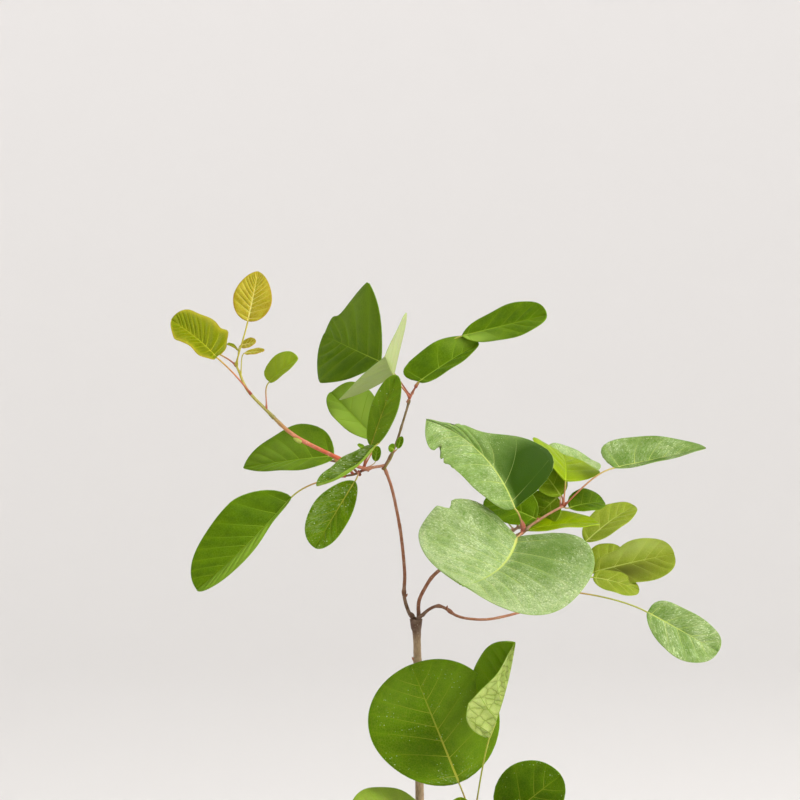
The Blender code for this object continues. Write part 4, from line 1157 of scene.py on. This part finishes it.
def add_tube(sheet, points, radii, colours, sides, relief, slot=0):
    """Adds a closed tube with a rough skin to a sheet."""
    points, radii, colours = np.asarray(points), np.asarray(radii), np.asarray(colours)
    firsts, seconds = ring_frames(points)
    angles = 2 * np.pi * np.arange(sides) / sides
    count = len(points)
    out = firsts[:, None] * np.cos(angles)[None, :, None] + seconds[:, None] * np.sin(angles)[None, :, None]
    rough = np.zeros((count, sides))
    for i in range(count):
        for j in range(sides):
            rough[i, j] = noise.noise(Vector(points[i] * GRAIN_ALONG + out[i, j] * GRAIN_ROUND))
    ring = points[:, None] + out * (radii[:, None] * (1 + relief * rough))[..., None]
    corners = np.concatenate([ring.reshape(-1, 3), points[:1], points[-1:]])
    tint = np.concatenate([np.repeat(colours, sides, axis=0), colours[:1], colours[-1:]])
    length = lengths_along(points)
    place = np.stack([np.cos(angles)[None, :] * radii[:, None], np.repeat(length[:, None], sides, axis=1),
                      np.sin(angles)[None, :] * radii[:, None]], axis=-1).reshape(-1, 3)
    place = np.concatenate([place, [[0, 0, 0]], [[0, length[-1], 0]]])
    place[:, 0] += points[0, 0] + TUBE_APART
    left, low, wide, high = sheet.next_cell()
    share = length / max(length[-1], 1e-9)
    span = 1 - 2 * TUBE_EDGE

    def flat(i, j):
        """The flat place of ring i's corner j."""
        return left + wide * (TUBE_EDGE + span * j / sides), low + high * (TUBE_EDGE + span * share[i])

    faces, layout = [], []
    for i in range(count - 1):
        for j in range(sides):
            k = (j + 1) % sides
            faces.append([i * sides + j, i * sides + k, (i + 1) * sides + k, (i + 1) * sides + j])
            layout += [flat(i, j), flat(i, j + 1), flat(i + 1, j + 1), flat(i + 1, j)]
    for j in range(sides):
        k = (j + 1) % sides
        faces.append([k, j, count * sides])
        layout += [flat(0, j + 1), flat(0, j), flat(0, j + 0.5)]
        faces.append([(count - 1) * sides + j, (count - 1) * sides + k, count * sides + 1])
        layout += [flat(count - 1, j), flat(count - 1, j + 1), flat(count - 1, j + 0.5)]
    sheet.add(corners, faces, [slot] * len(faces), layout, tint=tint, place=place)


# Colours along the limbs, on the photograph's scale: the wood of the stem, older and newer shoots.
STEM_LOW = (182, 158, 124)
STEM_TOP = (168, 142, 112)
KNUCKLE = (96, 70, 54)
WOOD = (146, 92, 64)
DARK_WOOD = (106, 78, 54)
RUST = (184, 124, 92)
BLUSH = (172, 112, 82)
SHOOT = (212, 130, 92)
SALMON = (216, 140, 108)
ORANGE = (206, 100, 64)
OLIVE_WOOD = (120, 102, 60)
SHOOT_TIP = (190, 186, 60)
GREEN_WOOD = (154, 148, 70)
PETIOLE_RED = (162, 82, 62)
PETIOLE_PINK = (194, 136, 96)
PETIOLE_GREEN = (170, 182, 66)

LIMB_COLOURS = {
    "trunk": ((0, STEM_LOW), (0.94, STEM_TOP), (0.97, KNUCKLE), (1, KNUCKLE)),
    "bough_left": ((0, KNUCKLE), (0.13, DARK_WOOD), (0.3, WOOD), (0.7, BLUSH), (1, BLUSH)),
    "bough_left_fork": ((0, RUST), (1, RUST)),
    "bough_right": ((0, KNUCKLE), (0.15, WOOD), (1, WOOD)),
    "bough_low_right": ((0, KNUCKLE), (0.3, WOOD), (0.6, RUST), (1, SALMON)),
    "bough_top": ((0, WOOD), (0.3, OLIVE_WOOD), (1, OLIVE_WOOD)),
    "bough_gold": ((0, BLUSH), (0.2, ORANGE), (0.5, ORANGE), (0.75, SHOOT), (1, GREEN_WOOD)),
    "bough_foot": ((0, WOOD), (1, RUST)),
}

# The colours at both ends of a mass's twigs, and those of the rest.
STEM_COLOURS = {
    "leaves_gold_tip": (GREEN_WOOD, SHOOT_TIP),
    "leaves_left": (WOOD, OLIVE_WOOD),
    "leaves_top": (RUST, PETIOLE_RED),
    "leaves_top_small": (GREEN_WOOD, GREEN_WOOD),
    "leaves_right": (OLIVE_WOOD, RUST),
    "leaves_low_right": (SHOOT, GREEN_WOOD),
    "leaves_foot_right": (RUST, GREEN_WOOD),
}
OTHER_STEMS = (WOOD, GREEN_WOOD)

# Buds and stubs on the limbs: where the front view shows them, the depth, heading, size and colour.
KNOBS = {
    "trunk": (((-3.9, 309.6), -1, (-0.7, -0.2, 1), 1.3, KNUCKLE),
              ((0.3, 309.8), -1.6, (0.8, -0.4, 0.9), 1.1, KNUCKLE),
              ((-4.0, 287.6), -0.6, (-0.5, -0.3, 1), 1.0, RUST)),
    "bough_low_right": (((12.1, 313.2), 2.2, (0.3, -0.3, 1), 1.0, WOOD),),
    "bough_left": (((-8.2, 319.6), 0.4, (0.6, -0.4, 1), 0.9, WOOD),),
    "bough_gold": (((-60.4, 396.8), -8.8, (-0.86, -0.2, 0.48), 2.0, PETIOLE_GREEN),),
}

# Where nodes thicken a limb: the share of its length, and how much.
LIMB_NODES = {
    "trunk": ((0.24, 0.10), (0.42, 0.08), (0.60, 0.10), (0.74, 0.07), (0.885, 0.14)),
    "bough_left": ((0.20, 0.35), (0.62, 0.12), (0.97, 0.25)),
    "bough_right": ((0.35, 0.15), (0.97, 0.2)),
    "bough_low_right": ((0.17, 0.45), (0.26, 0.5), (0.6, 0.12)),
    "bough_top": ((0.2, 0.3), (0.62, 0.25), (0.97, 0.35)),
    "bough_gold": ((0.3, 0.1), (0.62, 0.12), (0.9, 0.1)),
    "bough_left_fork": ((0.9, 0.3),),
    "bough_foot": ((0.5, 0.2),),
}

# How far a node spreads, how deep a limb's foot sinks into what carries it, and how much it widens there.
NODE_SPREAD = 1.3
SINK = 2.4
COLLAR = 0.35

# The boughs' and twigs' share of the solids' thickness, which have a least thickness of their own.
SLIM = 0.78

# Tubes: how far apart their rings lie, their sides, and how rough their skin is.
TRUNK_RINGS = 1.4
LIMB_RINGS = 0.9
LIMB_SIDES = 20
TWIG_SIDES = 14
PETIOLE_SIDES = 10
BUD_SIDES = 8
TRUNK_RELIEF = 0.06
LIMB_RELIEF = 0.05
TWIG_RELIEF = 0.04
PETIOLE_RELIEF = 0.03


def graded(stops, shares):
    """Colours, linear, at an array of shares between stops of a share and a colour."""
    places = [place for place, colour in stops]
    tones = np.array([linear(*colour) for place, colour in stops])
    return np.stack([np.interp(shares, places, tones[:, channel]) for channel in range(3)], axis=1)


def blend_colours(ends, shares):
    """Colours between two ends, linear, at an array of shares."""
    return graded(((0, ends[0]), (1, ends[1])), shares)


def rooted(path):
    """A path that starts a little earlier, inside what carries it."""
    start, radius = path[0]
    back = (start - path[1][0]).normalized() * SINK
    return [(start + back, radius)] + path


def limb_arrays(name, stations, spacing):
    """A limb's points, radii and shares, with its nodes and, at its foot, a collar."""
    path = smooth_path(stations, spacing)
    if name != "trunk":
        path = rooted(path)
    points = np.array([tuple(place) for place, radius in path])
    radii = np.array([radius for place, radius in path])
    length = lengths_along(points)
    for share, size in LIMB_NODES.get(name, ()):
        radii = radii * (1 + size * np.exp(-((length - share * length[-1]) / NODE_SPREAD) ** 2))
    if name != "trunk":
        radii = radii * SLIM * (1 + COLLAR * np.exp(-(length / SINK) ** 2))
    return points, radii, length / length[-1]


def bark_material():
    """Bark that takes its colour from the limb, with streaks along it and pale pores across it."""
    nodes = Nodes("bark", roughness=0.62, Specular_IOR_Level=0.3)
    place = nodes.attribute("place")[0]
    streaks = nodes.noise(nodes.stretched(place, (1.0, 0.16, 1.0)), 2.6, 4.0, 0.6)
    tone = nodes.attribute("tint")[2]
    tone = nodes.mix(nodes.ramp(streaks, (0.35, 0.4), (0.6, 0.0)), tone, linear(70, 48, 38))
    blotches = nodes.noise(place, 0.35, 2.0)
    tone = nodes.mix(nodes.ramp(blotches, (0.4, 0.0), (0.75, 0.22)), tone, linear(212, 188, 166))
    pores = nodes.cells(nodes.stretched(place, (0.7, 1.5, 0.7)), 0.55)
    spots = nodes.ramp(pores.outputs["Distance"], (0.10, 1.0), (0.17, 0.0))
    tone = nodes.mix(nodes.times(spots, 0.5), tone, linear(214, 196, 172))
    nodes.bump(nodes.plus(streaks, nodes.times(spots, 0.5)), 0.00025, 0.7)
    return nodes.coloured(tone)


def petiole_material():
    """The skin of green twigs and petioles."""
    nodes = Nodes("petiole_skin", roughness=0.5, Specular_IOR_Level=0.35, Subsurface_Weight=0.3,
                  Subsurface_Radius=(0.6, 0.5, 0.2), Subsurface_Scale=0.0005)
    streaks = nodes.noise(nodes.attribute("place")[0], 1.2, 3.0)
    nodes.bump(streaks, 0.00008, 0.5)
    return nodes.coloured(nodes.mix(nodes.ramp(streaks, (0.35, 0.25), (0.65, 0.0)),
                                    nodes.attribute("tint")[2], linear(150, 66, 50)))


# A petiole's fine steps, its radius, how much its foot thickens and over what length, the stations at which
# it goes on below the midrib, and how thick and how far below it is there, before it thins and sinks.
FINE_STEPS = 12
PETIOLE_RADIUS = 0.4
FOOT_SWELL = 0.5
FOOT_LENGTH = 1.6
UNDER_MIDRIB = (0.03, 0.07, 0.12, 0.18)
MIDRIB_RADIUS = 0.38
MIDRIB_DEPTH = 0.12


def petiole_points(leaf):
    """The petiole's fine path and radii, from inside the stem to a fifth of the way up the midrib."""
    reach = (leaf.base - leaf.root).length
    points = leaf.petiole(leaf.root, FINE_STEPS)
    shares = [step / FINE_STEPS for step in range(FINE_STEPS + 1)]
    radii = [PETIOLE_RADIUS + FOOT_SWELL * math.exp(-(share * reach / FOOT_LENGTH) ** 2) for share in shares]
    for u in UNDER_MIDRIB:
        middle, tangent, across, normal = leaf.frame(u)
        points.append(middle - normal * (MIDRIB_DEPTH + u))
        radii.append(MIDRIB_RADIUS - u)
        shares.append(1.0)
    thin = min(1.0, 0.35 + leaf.length / 40)
    return [tuple(point) for point in points], [radius * thin for radius in radii], shares


def petiole_colours(tones, shares):
    """A petiole's colours from its foot to the blade."""
    foot, middle, end = tones
    shares = np.asarray(shares)
    low = blend_colours((foot, middle), np.clip(shares * 2.5, 0, 1))
    high = np.array(linear(*end))
    return low + (high - low) * np.clip(shares * 1.6 - 0.6, 0, 1)[:, None]


# The colours of a petiole's foot, middle and end, by the age of its leaf, and those of the rest. The green
# ones take the olive leaf's.
PETIOLE_TONES = {
    "olive": (PETIOLE_PINK, PETIOLE_GREEN, PETIOLE_GREEN),
    "dusted": (PETIOLE_RED, PETIOLE_PINK, (206, 200, 110)),
    "young": (PETIOLE_RED, (206, 128, 84), (196, 176, 70)),
    "gold": (SHOOT_TIP, (186, 184, 62), (196, 190, 70)),
}
OTHER_TONES = (PETIOLE_RED, PETIOLE_PINK, PETIOLE_GREEN)
GREEN_STALKS = ("low_end", "folded")

# The buds in the leaves' axils: the least length of a leaf with one, their size, and that of a larger one.
# Their steps, with their length and thickness as shares of their size.
BUDDED_LENGTH = 15
BUD_SIZE = 0.95
BUD_SIZES = {"front_upper": 2.7}
BUD_STEPS = 6
BUD_LENGTH = 2.4
BUD_THICK = 0.55

# Only blades longer than this have the fine grid.
FINE_LENGTH = 24


def add_bud(sheet, spot, heading, size, colour):
    """Adds a pointed bud to a sheet of tubes."""
    heading = heading.normalized()
    shares = [step / BUD_STEPS for step in range(BUD_STEPS + 1)]
    points = [tuple(spot + heading * size * BUD_LENGTH * share) for share in shares]
    swell = [max(0.06, math.sin(math.pi * (0.22 + 0.78 * share)) ** 0.8) for share in shares]
    radii = [size * part * BUD_THICK for part in swell]
    add_tube(sheet, points, radii, blend_colours((colour, colour), shares), BUD_SIDES, 0.0)


def dress(piece, node):
    """Hands a finished piece to the frame, in the place of a node."""
    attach(piece, BODY)
    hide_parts(node)


def make_limbs(bark):
    """A bark mesh for the trunk and for each bough."""
    for name, stations in LIMBS.items():
        knobs = KNOBS.get(name, ())
        sheet = Sheet(1 + len(knobs))
        spacing, relief = (TRUNK_RINGS, TRUNK_RELIEF) if name == "trunk" else (LIMB_RINGS, LIMB_RELIEF)
        points, radii, shares = limb_arrays(name, stations, spacing)
        add_tube(sheet, points, radii, graded(LIMB_COLOURS[name], shares), LIMB_SIDES, relief)
        for place, back, heading, size, colour in knobs:
            add_bud(sheet, seen(*place, back), Vector(heading), size, colour)
        dress(sheet.mesh(f"bark_{name}", [bark]), name)


def make_mass(name, row, bark, skin, looks):
    """A mesh of twigs and one of blades for a mass of leaves."""
    twigs = Sheet(len(row["twigs"]) + 2 * len(row["leaves"]) + 4)
    for key, stations in MASSES[name]["twigs"].items():
        points, radii, shares = limb_arrays(key, stations, LIMB_RINGS)
        colours = blend_colours(STEM_COLOURS.get(name, OTHER_STEMS), shares)
        add_tube(twigs, points, radii, colours, TWIG_SIDES, TWIG_RELIEF)
    for leaf in row["leaves"]:
        points, radii, shares = petiole_points(leaf)
        green = leaf.name in GREEN_STALKS or leaf.name.startswith(PREFIX)
        tones = PETIOLE_TONES.get("olive" if green else leaf.age, OTHER_TONES)
        add_tube(twigs, points, radii, petiole_colours(tones, shares), PETIOLE_SIDES, PETIOLE_RELIEF, slot=1)
        if leaf.length > BUDDED_LENGTH:
            heading = (leaf.base - leaf.root).normalized() + Vector((0, 0, 0.9))
            add_bud(twigs, leaf.root, heading, BUD_SIZES.get(leaf.name, BUD_SIZE), tones[0])
    short = name.removeprefix(PREFIX)
    dress(twigs.mesh(f"twigs_{short}", [bark, skin]), name)
    ages = sorted({leaf.age for leaf in row["leaves"]})
    materials = [looks[age][part] for age in ages for part in PARTS]
    blades = Sheet(2 * len(row["leaves"]))
    for number, leaf in enumerate(row["leaves"]):
        first = ages.index(leaf.age) * len(PARTS)
        slots = {part: first + place for place, part in enumerate(PARTS)}
        add_blade(blades, leaf, number, slots, leaf.length > FINE_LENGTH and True)
    dress(blades.mesh(f"blades_{short}", materials), name)


# The pot: its drain holes, how the rim narrows downwards, and how its edges are rounded, at most over a
# share of the sides that meet there.
DRAIN_HOLES = 3
DRAIN_RADIUS = 4.5
DRAIN_CIRCLE = 24.0
RIM_TAPER = 2.0
EDGE_RADIUS = 2.2
EDGE_STEPS = 5
EDGE_MOST = 0.45
POT_SIDES = 144
HOLE_SIDES = 32
SHARP_EDGE = math.radians(40)


def polar(out, angle):
    """x and y at a distance from the axis and at an angle."""
    return out * math.cos(angle), out * math.sin(angle)


def profile_object(name, profile, steps):
    """A turned mesh about the pot's axis, with its profile's points in millimetres."""
    mesh = bpy.data.meshes.new(name)
    corners = [(x * MM, 0, z * MM) for x, z in profile]
    mesh.from_pydata(corners, [(step, step + 1) for step in range(len(corners) - 1)], [])
    made = put(name, mesh)
    screw = made.modifiers.new("turn", "SCREW")
    screw.axis = "Z"
    screw.steps = steps
    screw.render_steps = steps
    screw.use_merge_vertices = True
    screw.merge_threshold = 0.00001
    screw.use_smooth_shade = True
    return made


def rounded(points, radius):
    """A profile with its corners rounded, between its ends."""
    smooth = [points[0]]
    for before, here, after in zip(points, points[1:], points[2:]):
        here_v, before_v, after_v = (Vector(point).to_3d() for point in (here, before, after))
        first, second = before_v - here_v, after_v - here_v
        cut = min(radius, first.length * EDGE_MOST, second.length * EDGE_MOST)
        start, end = here_v + first.normalized() * cut, here_v + second.normalized() * cut
        for step in range(EDGE_STEPS + 1):
            t = step / EDGE_STEPS
            spot = start * (1 - t) ** 2 + here_v * 2 * t * (1 - t) + end * t ** 2
            smooth.append((spot.x, spot.y))
    smooth.append(points[-1])
    return smooth


def pot_radius(z):
    """The pot's outer radius at a height, without its rim."""
    return POT_FOOT_RADIUS + (POT_TOP_RADIUS - RIM_STEP - POT_FOOT_RADIUS) * z / POT_HEIGHT


def make_pot(clay):
    """The clay pot, with rounded edges and drain holes."""
    under_rim = POT_HEIGHT - RIM_HEIGHT
    mouth = pot_radius(POT_HEIGHT) - WALL
    rim_foot = POT_TOP_RADIUS - RIM_TAPER
    profile = [(0, FLOOR), (pot_radius(FLOOR) - WALL, FLOOR), (mouth, POT_HEIGHT),
               (POT_TOP_RADIUS, POT_HEIGHT), (rim_foot, under_rim), (pot_radius(under_rim), under_rim),
               (POT_FOOT_RADIUS, 0), (0, 0)]
    pot = profile_object("clay_pot", rounded(profile, EDGE_RADIUS), POT_SIDES)
    holes = []
    for index in range(DRAIN_HOLES):
        x, y = polar(DRAIN_CIRCLE * MM, 2 * math.pi * (index + 0.5) / DRAIN_HOLES)
        hole = put(f"hole_{index}", bpy.data.meshes.new(f"hole_{index}"))
        work = bmesh.new()
        bmesh.ops.create_cone(work, cap_ends=True, segments=HOLE_SIDES, radius1=DRAIN_RADIUS * MM,
                              radius2=DRAIN_RADIUS * MM, depth=4 * FLOOR * MM)
        work.to_mesh(hole.data)
        work.free()
        hole.location = (x, y, FLOOR * MM / 2)
        cut = pot.modifiers.new("drain", "BOOLEAN")
        cut.operation = "DIFFERENCE"
        cut.object = hole
        cut.solver = "MANIFOLD"
        holes.append(hole)
    graph = bpy.context.evaluated_depsgraph_get()
    mesh = bpy.data.meshes.new_from_object(pot.evaluated_get(graph))
    pot.modifiers.clear()
    pot.data = mesh
    for hole in holes:
        bpy.data.objects.remove(hole, do_unlink=True)
    mesh.shade_smooth()
    mesh.set_sharp_from_angle(angle=SHARP_EDGE)
    mesh.materials.clear()
    mesh.materials.append(clay)
    dress(pot, "pot")


def clay_material():
    """Unglazed clay: warm and uneven, with turning marks, a damp foot and pale bloom under the rim."""
    nodes = Nodes("unglazed_clay", roughness=0.86, Specular_IOR_Level=0.25)
    place = nodes.object_place()
    height = nodes.height(place)
    broad = nodes.noise(place, 14.0, 3.0)
    grain = nodes.noise(place, 420.0, 4.0, 0.7)
    tone = nodes.mix(nodes.ramp(broad, (0.3, 0.0), (0.72, 1.0)), linear(164, 92, 62), linear(196, 124, 90))
    tone = nodes.mix(nodes.ramp(grain, (0.3, 0.25), (0.7, 0.0)), tone, linear(140, 76, 50))
    damp = nodes.plus(nodes.times(height, -16.0), nodes.times(broad, 1.2))
    tone = nodes.mix(nodes.ramp(damp, (0.1, 0.0), (0.55, 0.4)), tone, linear(126, 66, 44))
    stain = nodes.ramp(nodes.noise(place, 34.0, 5.0, 0.65), (0.5, 0.0), (0.66, 1.0))
    bloom = nodes.times(stain, nodes.ramp(nodes.times(height, 7.5), (0.55, 0.0), (0.95, 0.5)))
    tone = nodes.mix(bloom, tone, linear(222, 200, 182))
    rings = nodes.add("ShaderNodeTexWave", {"Vector": place}, bands_direction="Z", Scale=36.0, Distortion=1.2,
                      Detail=2.0)
    nodes.bump(nodes.plus(nodes.times(rings.outputs["Fac"], 0.5), grain), 0.0003, 0.5)
    return nodes.coloured(tone)


# The soil: its radius, and the rings and sides of its surface.
SOIL_EDGE = pot_radius(SOIL_TOP) - WALL - GAP * 2
SOIL_RINGS = 52
SOIL_SIDES = 168

# How far round the stem the soil stays level, how far it sinks towards the wall, how far all of it lies below
# its mark, how far from the stem its lumps reach their full height, and their scales and heights.
SOIL_LEVEL = 14
SOIL_SINK = 3.0
SOIL_DROP = 0.6
SMOOTH_FOOT = 9
LUMPS = ((0.09, 1.3), (0.35, 0.8), (1.1, 0.4))

# Loose crumbs and pale chips on it: how many, their least and greatest size, how uneven they are, and how far
# they stand out.
CRUMBS = 420
CHIPS = 46
CRUMB_SIZES = (0.7, 2.3)
CHIP_SIZES = (0.8, 1.9)
CRUMB_LUMPS = 0.55
CRUMB_RISE = 0.2
SOIL_SEED = 11


def soil_height(x, y):
    """The soil's surface at x, y: level near the stem, lower at the pot's wall, crumbly between."""
    out = math.hypot(x, y)
    level = SOIL_TOP - SOIL_SINK * max(0.0, (out - SOIL_LEVEL) / (SOIL_EDGE - SOIL_LEVEL)) ** 1.5
    spot = Vector((x, y, 0))
    lumps = sum(noise.noise(spot * scale) * size for scale, size in LUMPS)
    return level + lumps * min(1.0, out / SMOOTH_FOOT) - SOIL_DROP


def soil_filling():
    """The corners and faces of the soil's lumpy filling."""
    rings, sides = SOIL_RINGS, SOIL_SIDES
    turns = [2 * math.pi * side / sides for side in range(sides)]
    following = [(side + 1) % sides for side in range(sides)]
    corners = [(0, 0, soil_height(0, 0))]
    for ring in range(1, rings + 1):
        for turn in turns:
            x, y = polar(SOIL_EDGE * ring / rings, turn)
            corners.append((x, y, soil_height(x, y)))
    faces = [(0, 1 + side, 1 + k) for side, k in enumerate(following)]
    for ring in range(rings - 1):
        low, high = 1 + ring * sides, 1 + (ring + 1) * sides
        faces += [(low + side, high + side, high + k, low + k) for side, k in enumerate(following)]
    start = len(corners)
    foot = pot_radius(FLOOR + GAP) - WALL - GAP * 2
    corners += [(*polar(foot, turn), FLOOR + GAP) for turn in turns]
    outer = 1 + (rings - 1) * sides
    faces += [(outer + side, start + side, start + k, outer + k) for side, k in enumerate(following)]
    faces.append(tuple(start + side for side in reversed(range(sides))))
    return corners, faces


def add_crumbs(work):
    """Adds the crumbs and chips to the soil's mesh, the chips with the second material."""
    chance = random.Random(SOIL_SEED)
    for index in range(CRUMBS + CHIPS):
        out = SOIL_EDGE * math.sqrt(chance.uniform(0.01, 0.94))
        x, y = polar(out, chance.uniform(0, 2 * math.pi))
        is_chip = index >= CRUMBS
        size = chance.uniform(*(CHIP_SIZES if is_chip else CRUMB_SIZES))
        seed = Vector((chance.uniform(0, 90), chance.uniform(0, 90), 0))
        made = bmesh.ops.create_icosphere(work, subdivisions=2, radius=1)["verts"]
        flat = chance.uniform(0.5, 0.95)
        long = chance.uniform(0.8, 1.5)
        for spot in made:
            lump = 1 + CRUMB_LUMPS * noise.noise(spot.co * 1.6 + seed)
            height = spot.co.z * size * flat * lump + soil_height(x, y) + size * CRUMB_RISE
            spot.co = Vector((spot.co.x * size * long * lump + x, spot.co.y * size * lump + y, height)) * MM
        for face in {face for spot in made for face in spot.link_faces}:
            face.material_index = 1 if is_chip else 0


def make_soil(mix, chip):
    """The potting mix, one lumpy filling with loose crumbs, and pale chips on it."""
    corners, faces = soil_filling()
    work = bmesh.new()
    spots = [work.verts.new(Vector(corner) * MM) for corner in corners]
    for face in faces:
        work.faces.new([spots[index] for index in face])
    add_crumbs(work)
    mesh = bpy.data.meshes.new("potting_mix")
    work.to_mesh(mesh)
    work.free()
    mesh.shade_smooth()
    mesh.materials.append(mix)
    mesh.materials.append(chip)
    dress(put("potting_mix", mesh), "potting_soil")


def soil_material():
    """Dark crumbly potting mix."""
    nodes = Nodes("potting_mix", roughness=0.95, Specular_IOR_Level=0.2)
    place = nodes.object_place()
    broad = nodes.noise(place, 60.0, 4.0, 0.7)
    fine = nodes.noise(place, 700.0, 4.0, 0.7)
    tone = nodes.mix(nodes.ramp(broad, (0.3, 0.0), (0.7, 1.0)), linear(44, 32, 24), linear(86, 66, 50))
    tone = nodes.mix(nodes.ramp(fine, (0.45, 0.0), (0.75, 0.6)), tone, linear(118, 94, 72))
    nodes.bump(fine, 0.0006, 0.9)
    return nodes.coloured(tone)


def chip_material():
    """Pale volcanic chips in the potting mix."""
    nodes = Nodes("pale_chip", roughness=0.9, Specular_IOR_Level=0.2)
    pits = nodes.noise(nodes.object_place(), 900.0, 4.0, 0.7)
    nodes.bump(pits, 0.0003, 0.8)
    return nodes.coloured(nodes.mix(nodes.ramp(pits, (0.3, 0.0), (0.6, 1.0)), linear(176, 168, 154),
                                    linear(226, 222, 212)))


# The studio: the bowl's flat radius, its curve and its height in metres, its paper's colour on the floor,
# the lighter tone painted up its wall and the height over which it fades in, and the width of the picture
# at the stem in millimetres.
BOWL_FLAT = 2.6
BOWL_CURVE = 2.4
BOWL_WALL = 6.0
BOWL_STEPS = 24
BOWL_SIDES = 96
PAPER = (225, 223, 221)
PAPER_PAINTED_LIGHTER = (240, 238, 237)
PAPER_FADE = 1.6
PICTURE_WIDTH = 400.0

# The main light: its place and what it faces in metres, its size, watts and colour, and the sky's strength.
LIGHT_PLACE = (1.9, -1.0, 1.6)
LIGHT_TARGET = (0, 0, 0.36)
LIGHT_SIZE = 1.0
LIGHT_WATTS = 58
LIGHT_COLOUR = (1.0, 0.985, 0.96)
SKY = 1.15


def make_stage():
    """A wide bowl of pale paper round the plant, so that no edge shows from any side."""
    profile = [(0, 0)]
    for step in range(BOWL_STEPS + 1):
        angle = math.pi / 2 * step / BOWL_STEPS
        out, up = BOWL_FLAT + BOWL_CURVE * math.sin(angle), BOWL_CURVE * (1 - math.cos(angle))
        profile.append((out / MM, up / MM))
    profile.append(((BOWL_FLAT + BOWL_CURVE) / MM, BOWL_WALL / MM))
    bowl = profile_object("studio_bowl", profile, BOWL_SIDES)
    nodes = Nodes("studio_paper", roughness=0.9, Specular_IOR_Level=0.1)
    # The paper grows lighter up the wall: painted light.
    fade = nodes.maths("DIVIDE", nodes.height(nodes.object_place()), PAPER_FADE)
    bowl.data.materials.append(nodes.coloured(nodes.mix(fade, linear(*PAPER), linear(*PAPER_PAINTED_LIGHTER))))


def make_lights():
    """A soft main light from the upper right, which isn't seen itself, and an even sky."""
    data = bpy.data.lights.new("main", "AREA")
    data.shape = "SQUARE"
    data.size = LIGHT_SIZE
    data.energy = LIGHT_WATTS
    data.color = LIGHT_COLOUR
    made = put("main", data)
    made.location = LIGHT_PLACE
    made.rotation_euler = (Vector(LIGHT_TARGET) - Vector(LIGHT_PLACE)).to_track_quat("-Z", "Y").to_euler()
    made.visible_camera = False
    world = bpy.data.worlds.new("even_sky")
    world.use_nodes = True
    sky = world.node_tree.nodes["Background"]
    sky.inputs["Color"].default_value = (1.0, 1.0, 1.0, 1)
    sky.inputs["Strength"].default_value = SKY
    bpy.context.scene.world = world


def make_camera():
    """The photograph's view: level, at the middle of the crown, with a long lens."""
    data = bpy.data.cameras.new("photo_view")
    data.sensor_width = 36
    data.lens = data.sensor_width * EYE_DISTANCE / PICTURE_WIDTH
    data.clip_start = 0.05
    data.clip_end = 50
    made = put("photo_view", data)
    made.location = (EYE_X * MM, -EYE_DISTANCE * MM, EYE_HEIGHT * MM)
    made.rotation_euler = (math.pi / 2, 0, 0)
    bpy.context.scene.camera = made
    bpy.context.scene.view_settings.view_transform = "Standard"


# The looks of the grown leaves in turn, how far apart the lateral veins of a leaf lie with the least and
# greatest count, and the leaves that are more quilted and that have a wider midrib.
GROWN_AGES = ("old", "fresh", "flecked")
VEIN_SPACING = {"gold": 2.6, "green": 8.5}
VEIN_COUNTS = (4, 10)
QUILTS = {"folded": 2.4, "round": 1.3, "gold_top": 2.0, "gold_left": 2.0}
RIBS = {"front_big": 2.1, "round": 1.5, "front_upper": 1.3}


def main():
    """Builds every piece and hands it to the frame."""
    masses = plan()
    bark = bark_material()
    skin = petiole_material()
    looks = {look: {part: leaf_material(look, part) for part in PARTS} for look in LOOKS}
    make_limbs(bark)
    for name, row in masses.items():
        for number, leaf in enumerate(row["leaves"][len(MASSES[name]["leaves"]):]):
            leaf.age = GROWN_AGES[number % len(GROWN_AGES)]
        for leaf in row["leaves"]:
            crowd = VEIN_SPACING["gold" if leaf.age in ("gold", "young") else "green"]
            leaf.veins = min(VEIN_COUNTS[1], max(VEIN_COUNTS[0], round(leaf.length / crowd)))
            leaf.quilt = QUILTS.get(leaf.name, 1.5 if leaf.age == "gold" else 1.0)
            leaf.rib = RIBS.get(leaf.name, 1.0)
        make_mass(name, row, bark, skin, looks)
    make_pot(clay_material())
    make_soil(soil_material(), chip_material())
    make_stage()
    make_lights()
    make_camera()


main()
